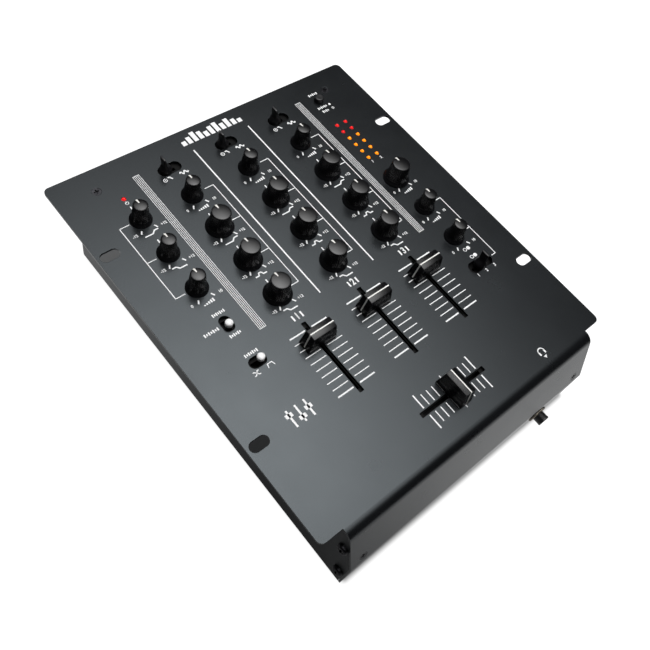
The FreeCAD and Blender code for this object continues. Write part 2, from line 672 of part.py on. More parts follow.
def toggle_lever(x, y, tip_half_y):
    """Upright lever: contact arm, cross pin, flat stem, dome and paddle."""
    pin = cyl_y(TOGGLE_PIN[0], x, TOGGLE_PIVOT_Z, y - TOGGLE_PIN[1], y + TOGGLE_PIN[1])
    hub = cyl_y(TOGGLE_HUB[0], x, TOGGLE_PIVOT_Z, y - TOGGLE_HUB[1], y + TOGGLE_HUB[1])
    arm_x, arm_y, arm_reach = TOGGLE_ARM
    arm = block(x, y, (2 * arm_x, 2 * arm_y), TOGGLE_PIVOT_Z - arm_reach, TOGGLE_PIVOT_Z)
    stem = block(x, y, (2 * TOGGLE_STEM[0], 2 * TOGGLE_STEM[1]), TOGGLE_PIVOT_Z, TOGGLE_DOME_Z)
    ball = Part.makeSphere(TOGGLE_DOME_R, vec(x, y, TOGGLE_DOME_Z))
    wide = 3 * TOGGLE_DOME_R
    dome = ball.common(block(x, y, (wide, wide), TOGGLE_DOME_LOW, TOGGLE_DOME_Z + wide))
    neck = block(x, y, (2 * PADDLE_HALF_X[0], 2 * PADDLE_FOOT_HALF_Y), TOGGLE_DOME_Z + 2.0, PADDLE_FOOT_Z)
    return fuse([pin, hub, arm, stem, dome, neck, toggle_paddle(x, y, tip_half_y)])


def toggle_body(x, y, case):
    """Switch case below the faceplate, with a slotted lid and bearings for the cross pin."""
    half = case["half"]
    lid = case["lid"]
    room_half_y = 3.4
    wall = 1.0
    flange_x = half + 2.0
    flange_y = SWITCH_HALF_Y + 1.1
    slit_half_y = TOGGLE_STEM[1] + EASE
    shell = block(x, y, (2 * half, 2 * SWITCH_HALF_Y), SWITCH_FLOOR, lid)
    flange = block(x, y, (2 * flange_x, 2 * flange_y), BOARD_TOP, BOARD_TOP + SWITCH_RIM)
    room = block(x, y, (2 * (half - wall), 2 * room_half_y), SWITCH_FLOOR + WALL, lid - wall)
    slit = block(x, y, (2 * case["reach"], 2 * slit_half_y), lid - 2 * wall, lid + PAST)
    bearing_half = TOGGLE_PIN[1] + 0.1
    bearing = cyl_y(TOGGLE_PIN[0] + 0.05, x, TOGGLE_PIVOT_Z, y - bearing_half, y + bearing_half)
    return cut(fuse([shell, flange]), [room, slit, bearing])


def slider_lever(x, y):
    """Small slide-switch actuator: slider, stem and round tip."""
    width = 2 * SLIDER_HALF
    reach = 2 * SLIDER_TIP_R
    slider = block(x, y, (width, width), SLIDER_Z[0], SLIDER_Z[1])
    stem = cyl(SLIDER_STEM_R, x, y, SLIDER_Z[1] - EASE, SLIDER_TIP_Z[1])
    tip = cyl(SLIDER_TIP_R, x, y, SLIDER_TIP_Z[0], SLIDER_TIP_Z[1])
    ball = Part.makeSphere(SLIDER_TIP_R, vec(x, y, SLIDER_TIP_Z[1]))
    dome = ball.common(block(x, y, (2 * reach, 2 * reach), SLIDER_TIP_Z[1], SLIDER_TIP_Z[1] + reach))
    return fuse([slider, stem, tip, dome])


def slider_body(x, y, throw_x, throw_y):
    """Slide-switch case; the slider runs the throw either side of the middle."""
    run_x = throw_x + 0.3 if throw_x else 0.0
    run_y = throw_y + 0.3 if throw_y else 0.0

    def room(half, low, high):
        return block(x, y, (2 * (half + run_x), 2 * (half + run_y)), low, high)

    case = room(SLIDER_CASE_HALF, BOARD_TOP, SLIDER_CASE_TOP)
    inside = room(SLIDER_HALF + 0.3, SLIDER_Z[0] - EASE, SLIDER_Z[1] + EASE)
    slit = room(SLIDER_STEM_R + EASE, SLIDER_Z[1] - PAST, SLIDER_CASE_TOP + PAST)
    return cut(case, [inside, slit])


def meter_button():
    x, y = METER_BUTTON
    cap = cyl(BUTTON_R, x, y, BUTTON_LOW, BUTTON_TOP)
    rim = [e for e in cap.Edges if e.BoundBox.ZMin > 0 and len(e.Vertexes) == 1]
    cap = cap.makeFillet(BUTTON_ROUND, rim)
    collar = cyl(BUTTON_R + BUTTON_COLLAR, x, y, BUTTON_LOW, -SHEET - 0.3)
    plunger = cyl(PLUNGER_R, x, y, BUTTON_LOW - 3.4, BUTTON_LOW)
    return fuse([cap, collar, plunger])


def meter_switch_body():
    x, y = METER_BUTTON
    case = block(x, y, (6.4, 6.4), BOARD_TOP, BUTTON_LOW - 2.0)
    return cut(case, [cyl(PLUNGER_R + 0.1, x, y, BOARD_TOP + 1.4, 0.0)])


# ---------------------------------------------------------------- lights
def led(x, y):
    """Round lens, collar below the faceplate and two legs down to the board."""
    barrel_low = -4.4
    collar_low = -5.2
    leg = 0.5
    reach = 4 * LED_R
    ball = Part.makeSphere(LED_R, vec(x, y, LED_SPRING))
    dome = ball.common(block(x, y, (reach, reach), LED_SPRING, LED_SPRING + reach))
    barrel = cyl(LED_R, x, y, barrel_low, LED_SPRING)
    collar = cyl(LED_R + LED_COLLAR, x, y, collar_low, barrel_low + EASE)
    legs = [block(x, y + side, (leg, leg), BOARD_TOP, collar_low + EASE) for side in (-1.0, 1.0)]
    return fuse([dome, barrel, collar] + legs)


# ---------------------------------------------------------------- connectors
def jack(x, z, panel_y, out):
    """Quarter-inch socket: block behind the sheet, threaded sleeve through it."""
    half_x, depth, half_z = JACK_BLOCK
    inner = panel_y - out * (SHEET + 0.1)
    rear = inner - out * depth
    tip = panel_y + out * JACK_REACH
    end = tip - out * JACK_DEPTH
    body = box(x - half_x, x + half_x, min(inner, rear), max(inner, rear), z - half_z, z + half_z)
    sleeve = cyl_y(JACK_R, x, z, min(inner, tip), max(inner, tip))
    hole = cyl_y(JACK_BORE_R, x, z, min(tip, end), max(tip, end))
    return cut(fuse([body, sleeve]), [hole])


def jack_nut(x, z, panel_y, out):
    near = panel_y + out * 0.05
    far = near + out * JACK_NUT[1]
    nut = cyl_y(JACK_NUT[0], x, z, min(near, far), max(near, far))
    return cut(nut, [cyl_y(JACK_R + 0.05, x, z, panel_y - 3.0, panel_y + 3.0)])


def rca_pair(x):
    """Two stacked pin sockets on one block."""
    half, depth = RCA_BLOCK
    base = box(x - half, x + half, REAR_IN - depth, REAR_IN - 0.1, MAIN_TOP, RCA_Z[0] + half)
    step = CASE_REAR + RCA_STEP
    tip = CASE_REAR + RCA_LENGTH
    necks = [cyl_y(RCA_NECK_R, x, z, REAR_IN - PAST, step) for z in RCA_Z]
    barrels = [cyl_y(RCA_R, x, z, step, tip) for z in RCA_Z]
    holes = [cyl_y(RCA_HOLE_R, x, z, CASE_REAR - 2.0, tip + PAST) for z in RCA_Z]
    wells = [cyl_y(RCA_WELL_R, x, z, tip - 1.0, tip + PAST) for z in RCA_Z]
    return cut(fuse([base] + necks + barrels), holes + wells)


def power_socket():
    """Round low-voltage inlet with a centre contact pin."""
    x, z = DC_SOCKET
    half, depth, above = DC_BLOCK
    base = box(x - half, x + half, REAR_IN - depth, REAR_IN - 0.1, MAIN_TOP, z + above)
    boss = cyl_y(DC_BOSS_R, x, z, REAR_IN - PAST, CASE_REAR + DC_BOSS_REACH)
    well_end = CASE_REAR - DC_WELL_DEPTH
    well = cyl_y(DC_WELL_R, x, z, well_end, CASE_REAR + DC_BOSS_REACH + PAST)
    pin = cyl_y(DC_PIN_R, x, z, well_end - 0.5, CASE_REAR - DC_PIN_SINK)
    return fuse([cut(fuse([base, boss]), [well]), pin])


def ground_post(z):
    """Threaded earth post with a collar behind the panel and a plain outer collar."""
    inner_r, outer_r = GROUND_COLLARS
    stud = cyl_y(GROUND_STUD_R, GROUND_X, z, REAR_IN - 6.0, CASE_REAR + 9.0)
    inner = cyl_y(inner_r, GROUND_X, z, REAR_IN - 2.1, REAR_IN - 0.1)
    outer = cyl_y(outer_r, GROUND_X, z, CASE_REAR + 0.1, CASE_REAR + 5.0)
    return fuse([stud, inner, outer])


def rocker_housing():
    """Switch case behind the rear panel, its frame outside, open for the rocker."""
    x, z = ROCKER
    half_x, half_z = ROCKER_CASE
    frame_x, frame_z, frame_t = ROCKER_FRAME
    room_r = ROCKER_R + 0.3
    room_x = ROCKER_HALF_X + EASE
    frame = box(x - frame_x, x + frame_x, CASE_REAR + 0.05, CASE_REAR + frame_t, z - frame_z, z + frame_z)
    case = box(x - half_x, x + half_x, REAR_IN - 14.0, CASE_REAR + 0.1, z - half_z, z + half_z)
    room = cyl_x(room_r, ROCKER_PIVOT_Y, z, x - room_x, x + room_x)
    throat = box(x - room_x, x + room_x, ROCKER_PIVOT_Y, CASE_REAR + frame_t + PAST, z - room_r, z + room_r)
    bearing = cyl_x(ROCKER_PIN_R + 0.05, ROCKER_PIVOT_Y, z, x - room_x - 1.0, x + room_x + 1.0)
    return cut(fuse([frame, case]), [room, throat, bearing])


def rocker_button():
    """Rocker with two flat faces that meet in a shallow valley over its pivot."""
    x, z = ROCKER
    back, waist, lip, valley = (-4.0, 2.0, 7.6, 6.1)
    back_half, waist_half, lip_half = (6.6, 7.6, 7.1)
    half = [(back, -back_half), (waist, -waist_half), (lip, -lip_half)]
    outline = half + [(valley, 0.0)] + [(a, -b) for a, b in half[::-1]]
    body = prism_x([(ROCKER_PIVOT_Y + a, z + b) for a, b in outline], x - ROCKER_HALF_X, x + ROCKER_HALF_X)
    pin_end = ROCKER_HALF_X + 1.1
    pin = cyl_x(ROCKER_PIN_R, ROCKER_PIVOT_Y, z, x - pin_end, x + pin_end)
    return turned(fuse([body, pin]), vec(x, ROCKER_PIVOT_Y, z), vec(1, 0, 0), ROCKER_TILT)


# ---------------------------------------------------------------- boards
def screw_holes(places, top):
    """Clearance holes for board screws through a board."""
    return [cyl(M3_TAP_R + 0.1, x, y, top - BOARD_T - PAST, top + PAST) for x, y in places]


def control_board():
    """Board under the faceplate with windows for the toggle switch cases."""
    board = box(-BOARD_HALF_X, BOARD_HALF_X, CONTROL_BOARD_Y[0], CONTROL_BOARD_Y[1],
                BOARD_TOP - BOARD_T, BOARD_TOP)
    low = BOARD_TOP - BOARD_T - PAST
    high = BOARD_TOP + PAST
    deep = 2 * (SWITCH_HALF_Y + 0.3)
    wide = 2 * (SOURCE_CASE["half"] + 0.3)
    tools = [block(x, TOGGLE_Y, (wide, deep), low, high) for x in CHANNELS]
    cue_wide = 2 * (CUE_CASE["half"] + 0.3)
    tools.append(block(CUE_SWITCH[0], CUE_SWITCH[1], (cue_wide, deep), low, high))
    return cut(board, tools + screw_holes(PANEL_STANDOFFS, BOARD_TOP))


def main_board():
    board = box(-BOARD_HALF_X, BOARD_HALF_X, MAIN_BOARD_Y[0], MAIN_BOARD_Y[1], MAIN_TOP - BOARD_T, MAIN_TOP)
    return cut(board, screw_holes(MAIN_STANDOFFS, MAIN_TOP))


def standoff(x, y, z0, z1):
    return cut(cyl(STANDOFF_R, x, y, z0, z1), [cyl(M3_TAP_R, x, y, z0 - PAST, z1 + PAST)])


def standoffs():
    upper = [standoff(x, y, BOARD_TOP, -SHEET) for x, y in PANEL_STANDOFFS]
    lower = [standoff(x, y, CASE_BOTTOM + WALL, MAIN_TOP - BOARD_T) for x, y in MAIN_STANDOFFS]
    return upper + lower


def board_screws():
    screw = small_screw(6.0)
    flipped = turned(screw, vec(0, 0, 0), vec(1, 0, 0), 180)
    upper = [moved(flipped, x, y, BOARD_TOP - BOARD_T) for x, y in PANEL_STANDOFFS]
    lower = [moved(screw, x, y, MAIN_TOP) for x, y in MAIN_STANDOFFS]
    return upper + lower


def ribbon_cable():
    """Flat cable and its two plugs between the control board and the main board."""
    plug_x = (-19.0, 7.0)
    plug_h = 6.0
    plug_d = 5.0
    top_y = 66.0
    low_y = 78.0
    cable_t = 1.0
    top_z = BOARD_TOP - BOARD_T - plug_h
    low_z = MAIN_TOP + plug_h
    start = top_y + 2.0
    end = low_y + 2.0
    top_plug = box(plug_x[0], plug_x[1], top_y, top_y + plug_d, top_z, BOARD_TOP - BOARD_T)
    low_plug = box(plug_x[0], plug_x[1], low_y, low_y + plug_d, MAIN_TOP, low_z)
    knee_top = top_z - 9.4
    knee_low = low_z + 10.0
    run = [(start, top_z + 0.6), (start + cable_t, top_z + 0.6), (start + cable_t, knee_top + 0.4),
           (end + cable_t, knee_low), (end + cable_t, low_z - 0.5), (end, low_z - 0.5),
           (end, knee_low - 0.4), (start, knee_top)]
    return fuse([top_plug, low_plug, prism_x(run, plug_x[0] + 1.0, plug_x[1] - 1.0)])


# ---------------------------------------------------------------- build
def export_knobs():
    large = knob(LARGE_KNOB)
    small = knob(SMALL_KNOB)
    for name, x, y, is_large in knob_places():
        shapes = large if is_large else small
        export(name + "_knob", [moved(s, x, y) for s in shapes])


def export_faders():
    cap = fader_cap()
    stem = fader_stem()
    body = fader_body()
    for number, x in enumerate(CHANNELS, 1):
        pieces = [moved(s, x, FADER_Y + FADER_REST) for s in (cap, stem)]
        export("ch%d_fader" % number, pieces)
    across = [turned(s, vec(0, 0, 0), vec(0, 0, 1), -90) for s in (cap, stem, body)]
    export("crossfader", [moved(s, CROSS_X, CROSS_Y) for s in across[:2]])
    bodies = [moved(body, x, FADER_Y) for x in CHANNELS]
    export("fader_bodies", bodies + [moved(across[2], CROSS_X, CROSS_Y)])


def leaning_lever(x, y, tip_half_y, degrees):
    """Toggle lever tilted to the left about its cross pin."""
    pivot = vec(x, y, TOGGLE_PIVOT_Z)
    return turned(toggle_lever(x, y, tip_half_y), pivot, vec(0, 1, 0), -degrees)


def export_switches():
    for number, x in enumerate(CHANNELS, 1):
        export("ch%d_source_lever" % number, leaning_lever(x, TOGGLE_Y, 2.6, TOGGLE_LEAN))
    export("cue_lever", leaning_lever(CUE_SWITCH[0], CUE_SWITCH[1], 3.0, CUE_LEAN))
    bodies = [toggle_body(x, TOGGLE_Y, SOURCE_CASE) for x in CHANNELS]
    export("toggle_bodies", bodies + [toggle_body(CUE_SWITCH[0], CUE_SWITCH[1], CUE_CASE)])
    export("mode_lever", slider_lever(MODE_SWITCH[0], MODE_SWITCH[1] - MODE_THROW))
    export("slope_lever", slider_lever(SLOPE_SWITCH[0] + SLOPE_THROW, SLOPE_SWITCH[1]))
    export("slide_switch_bodies", [slider_body(MODE_SWITCH[0], MODE_SWITCH[1], 0.0, MODE_THROW),
                                   slider_body(SLOPE_SWITCH[0], SLOPE_SWITCH[1], SLOPE_THROW, 0.0)])
    export("meter_button", meter_button())
    export("meter_switch_body", meter_switch_body())
    export("power_rocker", rocker_button())
    export("power_switch_body", rocker_housing())


def export_electrics():
    places = [(x, y) for _, x, y, _ in knob_places()]
    export("pot_bodies", [moved(pot_body(), x, y) for x, y in places])
    export("pot_nuts", [moved(pot_nut(), x, y) for x, y in places])
    red, orange = led_places()
    export("meter_leds_red", [led(x, y) for x, y in red])
    export("meter_leds_orange", [led(x, y) for x, y in orange])
    export("power_led", led(POWER_LED[0], POWER_LED[1]))
    export("headphone_jack", jack(HEADPHONE[0], HEADPHONE[1], FACE_Y, -1))
    export("mic_jack", jack(MIC_JACK[0], MIC_JACK[1], CASE_REAR, 1))
    export("jack_nuts", [jack_nut(HEADPHONE[0], HEADPHONE[1], FACE_Y, -1),
                         jack_nut(MIC_JACK[0], MIC_JACK[1], CASE_REAR, 1)])
    export("rca_jacks", [rca_pair(x) for x in RCA_X])
    export("power_socket", power_socket())
    export("ground_posts", [ground_post(z) for z in RCA_Z])
    export("control_board", control_board())
    export("main_board", main_board())
    export("board_standoffs", standoffs())
    export("board_screws", board_screws())
    export("ribbon_cable", ribbon_cable())


def export_side_screws():
    screw = pan_screw(3.9, 2.7, M4_R, SCREW_L)
    placed = []
    for y, z in SIDE_SCREWS:
        for sign in (-1, 1):
            facing = turned(screw, vec(0, 0, 0), vec(0, 1, 0), sign * 90)
            placed.append(moved(facing, sign * (HALF_CASE + 0.05), y, z))
    export("side_screws", placed)


def export_case():
    export("top_panel", top_panel())
    export("chassis_tray", chassis_tray())
    export("rear_panel", rear_panel())
    export("rubber_feet", [moved(rubber_foot(), x, y, CASE_BOTTOM) for x, y in FEET])
    flush = countersunk_screw()
    screws = [moved(flush, s * PANEL_SCREW[0], PANEL_SCREW[1]) for s in (-1, 1)]
    screws += [slope_place(flush, s * FRONT_SCREW_X, FRONT_SCREW_Z) for s in (-1, 1)]
    export("panel_screws", screws)
    export_side_screws()
    under = turned(small_screw(5.0), vec(0, 0, 0), vec(1, 0, 0), 180)
    export("rear_screws", [moved(under, x, y, CASE_BOTTOM - 0.05) for x, y in REAR_SCREWS])
    head_z = CASE_BOTTOM - FOOT_H + FOOT_WELL[1] - 0.05
    export("foot_screws", [moved(under, x, y, head_z) for x, y in FEET])


os.makedirs("parts", exist_ok=True)
export_case()
export_knobs()
export_faders()
export_switches()
export_electrics()
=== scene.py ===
import json
import math
import bmesh
import bpy
from mathutils import Matrix, Quaternion, Vector


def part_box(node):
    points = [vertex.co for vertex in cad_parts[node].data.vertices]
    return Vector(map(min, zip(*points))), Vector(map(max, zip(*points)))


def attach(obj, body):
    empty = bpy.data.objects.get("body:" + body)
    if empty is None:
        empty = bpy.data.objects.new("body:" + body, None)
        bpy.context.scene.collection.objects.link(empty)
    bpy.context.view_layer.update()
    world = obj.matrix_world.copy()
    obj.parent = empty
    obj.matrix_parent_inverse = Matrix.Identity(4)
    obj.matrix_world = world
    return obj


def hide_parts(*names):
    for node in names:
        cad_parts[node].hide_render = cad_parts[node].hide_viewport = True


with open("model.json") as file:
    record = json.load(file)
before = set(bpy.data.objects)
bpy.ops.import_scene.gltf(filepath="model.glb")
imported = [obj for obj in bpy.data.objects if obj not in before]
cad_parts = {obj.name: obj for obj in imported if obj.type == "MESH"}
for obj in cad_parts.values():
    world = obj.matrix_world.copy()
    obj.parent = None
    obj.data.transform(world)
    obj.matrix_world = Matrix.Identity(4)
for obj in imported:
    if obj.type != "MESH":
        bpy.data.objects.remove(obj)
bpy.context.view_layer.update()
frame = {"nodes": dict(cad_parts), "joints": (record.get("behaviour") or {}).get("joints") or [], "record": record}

MM = 0.001
ROOT = "console"
CHANNELS = ("ch1", "ch2", "ch3")

# ------------------------ places read from the frame
PANEL_LOW, PANEL_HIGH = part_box("top_panel")
PANEL_TOP = PANEL_HIGH.z / MM
FLOOR_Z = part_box("rubber_feet")[0].z
JOINTS = {j["name"]: j for j in frame["joints"]}
KNOBS = [n for n in frame["nodes"] if n.endswith("_knob")]
LARGE_KNOB_R = 9.0         # knobs with a wider skirt than this are the large kind


def centre(node):
    """Middle of a CAD node's box, in millimetres."""
    low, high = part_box(node)
    return (low + high) / 2 / MM


def body_of(node):
    return next(b for b, nodes in frame["record"]["behaviour"]["bodies"].items() if node in nodes)


def knob_centre(name):
    return centre(name + "_knob")


def is_large(node):
    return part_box(node)[1].x / MM - centre(node).x > LARGE_KNOB_R


def slot_middle(node, joint, axis):
    """Middle of a fader's travel, in millimetres."""
    low, high = JOINTS[joint]["range_m"]
    place = centre(node)
    place[axis] += (low + high) / 2 / MM
    return place


# ------------------------ node material helpers
WORN_TURN = 0.92           # cosine between true and rounded normal where an edge is fully worn
VECTOR = "ShaderNodeVectorMath"
SCALAR_RESULT = ("DOT_PRODUCT", "DISTANCE", "LENGTH")


class Nodes:
    """Node tree of a material, lamp or world, with short names for the nodes used here."""

    def __init__(self, owner):
        owner.use_nodes = True
        self.material = owner
        self.tree = owner.node_tree

    def add(self, kind, **values):
        """New node; capitalised values fill its inputs, the others are its own settings."""
        node = self.tree.nodes.new(kind)
        for key, value in values.items():
            if key[0].islower():
                setattr(node, key, value)
        return self.fill(node, **{k: v for k, v in values.items() if k[0].isupper()})

    def link(self, source, target):
        self.tree.links.new(source, target)

    def fill(self, node, **values):
        """Gives a node's inputs sockets to follow or plain values; 3-part colours get an alpha of 1."""
        for key, value in values.items():
            socket = node.inputs[key.replace("_", " ")]
            if hasattr(value, "is_output"):
                self.link(value, socket)
            elif isinstance(value, tuple) and len(value) < len(socket.default_value):
                socket.default_value = (*value, 1.0)
            else:
                socket.default_value = value
        return node

    def set(self, **values):
        """Fills the inputs of a material's shader."""
        self.fill(self.tree.nodes["Principled BSDF"], **values)

    def noise(self, scale, detail=3.0, rough=0.55, stretch=None):
        source = self.coords
        if stretch:
            source = self.add("ShaderNodeMapping", Scale=stretch, Vector=source).outputs["Vector"]
        node = self.add("ShaderNodeTexNoise", Scale=scale, Detail=detail, Roughness=rough, Vector=source)
        return node.outputs["Fac"]

    def ramp(self, source, low, high, start=0.35, end=0.65):
        """Maps a value to a colour between two given ones."""
        node = self.add("ShaderNodeValToRGB", Fac=source)
        points = node.color_ramp.elements
        points[0].position = start
        points[1].position = end
        points[0].color = (*low, 1.0)
        points[1].color = (*high, 1.0)
        return node.outputs["Color"]

    def level(self, source, low, high, start=0.0, end=1.0, curve="LINEAR"):
        """Maps a value from start..end to low..high."""
        node = self.add("ShaderNodeMapRange", interpolation_type=curve, Value=source, From_Min=start,
                        From_Max=end, To_Min=low, To_Max=high)
        return node.outputs["Result"]

    def calc(self, operation, first, second=None, kind="ShaderNodeMath"):
        """Arithmetic on sockets or plain values."""
        node = self.add(kind, operation=operation)
        for value, socket in zip((first, second), node.inputs):
            if hasattr(value, "is_output"):
                self.link(value, socket)
            elif value is not None:
                socket.default_value = value
        return node.outputs["Vector" if kind == VECTOR and operation not in SCALAR_RESULT else "Value"]

    def mix(self, factor, first, second):
        node = self.add("ShaderNodeMix", data_type="RGBA", Factor=factor)
        for socket, value in (("A", first), ("B", second)):
            target = [s for s in node.inputs if s.name == socket and s.type == "RGBA"][0]
            if isinstance(value, tuple):
                target.default_value = (*value, 1.0)
            else:
                self.link(value, target)
        return [s for s in node.outputs if s.type == "RGBA"][0]

    def bump(self, height, strength, distance, bevel=0.0):
        node = self.add("ShaderNodeBump", Strength=strength, Distance=distance, Height=height)
        if bevel:
            self.fill(node, Normal=self.rounded(bevel))
        self.set(Normal=node.outputs["Normal"])

    def rounded(self, radius):
        """Surface normal with its edges rounded off by a radius in metres."""
        return self.add("ShaderNodeBevel", samples=4, Radius=radius).outputs["Normal"]

    def edge_mask(self, radius):
        """Rises to 1 where a surface turns sharply, for wear along edges."""
        true_normal = self.add("ShaderNodeNewGeometry").outputs["Normal"]
        turn = self.calc("DOT_PRODUCT", self.rounded(radius), true_normal, VECTOR)
        return self.level(turn, 0.0, 1.0, 1.0, WORN_TURN)


# ------------------------ materials
def new_material(name):
    m = Nodes(bpy.data.materials.new(name))
    m.coords = m.add("ShaderNodeTexCoord").outputs["Object"]
    return m


PAINT_TINT = (0.86, 0.95, 1.0)      # the paint's sheen is slightly blue
WORN_PAINT = (0.10, 0.105, 0.11)


def paint(name, base, light, rough):
    """Satin powder coat: fine grain, slow colour drift, slightly worn edges."""
    m = new_material(name)
    drift = m.ramp(m.noise(14.0, 2.0), base, light)
    speck = m.noise(900.0, 2.0, 0.6)
    patch = m.ramp(m.noise(60.0, 4.0), (0, 0, 0), (1, 1, 1), 0.45, 0.75)
    worn = m.calc("MULTIPLY", m.edge_mask(0.0005), patch)
    m.set(Base_Color=m.mix(worn, drift, WORN_PAINT))
    m.set(Roughness=m.level(m.noise(45.0, 4.0), *rough), IOR=1.44, Specular_Tint=PAINT_TINT)
    m.bump(speck, 0.22, 0.00012, bevel=0.0003)
    return m.material


def plastic(name, base, light, rough, grain=1400.0, depth=0.00006, strength=0.25, ior=1.45):
    """Moulded plastic with a fine spark-eroded grain."""
    m = new_material(name)
    m.set(Base_Color=m.ramp(m.noise(90.0, 3.0), base, light), IOR=ior)
    m.set(Roughness=m.level(m.noise(220.0, 3.0), *rough))
    m.bump(m.noise(grain, 2.0), strength, depth)
    return m.material


def metal(name, base, light, rough):
    """Plated metal with faint directional scuffs."""
    m = new_material(name)
    scuff = m.noise(500.0, 3.0, 0.6, stretch=(1.0, 1.0, 12.0))
    m.set(Base_Color=m.ramp(scuff, base, light), Metallic=1.0)
    m.set(Roughness=m.level(scuff, *rough))
    m.bump(scuff, 0.12, 0.00004)
    return m.material


def lamp(name, colour, core, strength):
    """Lit lens: bright core, deeper colour towards the rim."""
    m = new_material(name)
    facing = m.add("ShaderNodeLayerWeight", Blend=0.35)
    glow = m.ramp(facing.outputs["Facing"], core, colour, 0.0, 0.75)
    haze = m.level(m.noise(700.0, 2.0), 0.12, 0.25)
    m.set(Base_Color=colour, Roughness=haze, Emission_Color=glow, Emission_Strength=strength)
    return m.material


def circuit_board(name):
    """Green solder mask over faint copper tracks."""
    m = new_material(name)
    tracks = m.add("ShaderNodeTexBrick", Scale=120.0, Mortar_Size=0.03, Color1=(0.012, 0.07, 0.03),
                   Color2=(0.015, 0.09, 0.035), Mortar=(0.03, 0.13, 0.05), Vector=m.coords)
    m.set(Base_Color=tracks.outputs["Color"], Roughness=0.35)
    m.bump(tracks.outputs["Fac"], 0.2, 0.00003)
    return m.material


def ribbed_cable(name):
    """Grey flat cable with a rib for every wire, with painted shade darker in the grooves between the ribs."""
    m = new_material(name)
    wave = m.add("ShaderNodeTexWave", bands_direction="X", Scale=240.0, Vector=m.coords)
    # painted shade: the colour follows the rib wave, darker in the grooves and lighter on the crests
    m.set(Base_Color=m.ramp(wave.outputs["Fac"], (0.30, 0.31, 0.33), (0.42, 0.43, 0.45)))
    m.set(Roughness=0.5)
    m.bump(wave.outputs["Fac"], 0.4, 0.0002)
    return m.material


def ink(name):
    """Screen-printed white with slightly uneven cover."""
    m = new_material(name)
    m.set(Base_Color=m.ramp(m.noise(1500.0, 2.0), (0.74, 0.75, 0.76), (0.90, 0.90, 0.90), 0.25, 0.6))
    m.set(Roughness=m.level(m.noise(800.0), 0.45, 0.6))
    m.bump(m.noise(2500.0), 0.1, 0.00002)
    return m.material


CASE_GREY = ((0.012, 0.0125, 0.0135), (0.015, 0.0155, 0.017))     # darker and lighter tone
GLOSS_BLACK = ((0.003, 0.003, 0.0035), (0.005, 0.005, 0.006))
MATERIALS = {
    "panel": paint("panel_paint", (0.0050, 0.0055, 0.0062), (0.0065, 0.0070, 0.0080), (0.22, 0.30)),
    "tray": paint("tray_paint", *CASE_GREY, (0.40, 0.5)),
    "rear": paint("rear_paint", *CASE_GREY, (0.42, 0.52)),
    "knob": plastic("knob_plastic", *GLOSS_BLACK, (0.21, 0.27), strength=0.1),
    "fader_cap": plastic("cap_plastic", *GLOSS_BLACK, (0.24, 0.30), strength=0.08),
    "lever": plastic("lever_plastic", (0.005, 0.005, 0.006), (0.008, 0.008, 0.009), (0.25, 0.36)),
    "button": plastic("button_plastic", (0.008, 0.008, 0.009), (0.012, 0.012, 0.013), (0.3, 0.4)),
    "switch_case": plastic("switch_plastic", (0.002,) * 3, (0.004,) * 3, (0.55, 0.65), ior=1.2),
    "jack": plastic("jack_plastic", (0.008, 0.008, 0.009), (0.014, 0.014, 0.015), (0.35, 0.45)),
    "rubber": plastic("foot_rubber", (0.012,) * 3, (0.022,) * 3, (0.75, 0.9), grain=500.0, depth=0.0001),
    "pointer": plastic("pointer_white", (0.78, 0.77, 0.73), (0.88, 0.87, 0.84), (0.35, 0.45)),
    "white_tip": plastic("tip_white", (0.92,) * 3, (0.97,) * 3, (0.2, 0.3)),
    "red_ring": plastic("ring_red", (0.35, 0.01, 0.01), (0.5, 0.02, 0.015), (0.3, 0.4)),
    "white_ring": plastic("ring_white", (0.6, 0.6, 0.58), (0.75, 0.75, 0.73), (0.3, 0.4)),
    "black_screw": metal("screw_black", (0.020, 0.020, 0.022), (0.05, 0.05, 0.055), (0.3, 0.45)),
    "zinc": metal("zinc_plate", (0.45, 0.46, 0.48), (0.62, 0.62, 0.60), (0.3, 0.45)),
    "nut": metal("nut_plate", (0.45,) * 3, (0.6,) * 3, (0.25, 0.4)),
    "pot": metal("can_plate", (0.30, 0.30, 0.31), (0.42, 0.42, 0.43), (0.35, 0.5)),
    "jack_nut": metal("nickel_plate", (0.10, 0.09, 0.075), (0.20, 0.18, 0.15), (0.25, 0.35)),
    "rca": metal("socket_plate", (0.60, 0.58, 0.54), (0.78, 0.76, 0.72), (0.15, 0.3)),
    "post": metal("post_plate", (0.60,) * 3, (0.75,) * 3, (0.2, 0.35)),
    "board": circuit_board("board_mask"),
    "cable": ribbed_cable("cable_grey"),
    "ink": ink("print_white"),
    "red_led": lamp("lens_red", (0.75, 0.008, 0.01), (0.9, 0.02, 0.02), 0.6),
    "orange_led": lamp("lens_orange", (0.95, 0.22, 0.0), (1.0, 0.36, 0.01), 0.8),
}


# ------------------------ mesh helpers
def new_object(name, data):
    obj = bpy.data.objects.new(name, data)
    bpy.context.scene.collection.objects.link(obj)
    return obj


def piece(name, mesh, body, materials, place=(0, 0, 0), turn=None, node=None):
    """Puts a mesh at its place in millimetres, on its body, and for a CAD node if one is named."""
    obj = new_object(name, mesh)
    if not mesh.materials:
        for material in materials:
            mesh.materials.append(MATERIALS[material])
    if turn:
        obj.rotation_euler = turn
    obj.location = Vector(place) * MM
    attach(obj, body)
    if node:
        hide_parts(node)


def on_panel(name, mesh, node, materials, turn=None, replaces=True):
    """A piece for one CAD node, its height 0 on the faceplate's top."""
    c = centre(node)
    piece(name, mesh, body_of(node), materials, (c.x, c.y, PANEL_TOP), turn, node if replaces else None)


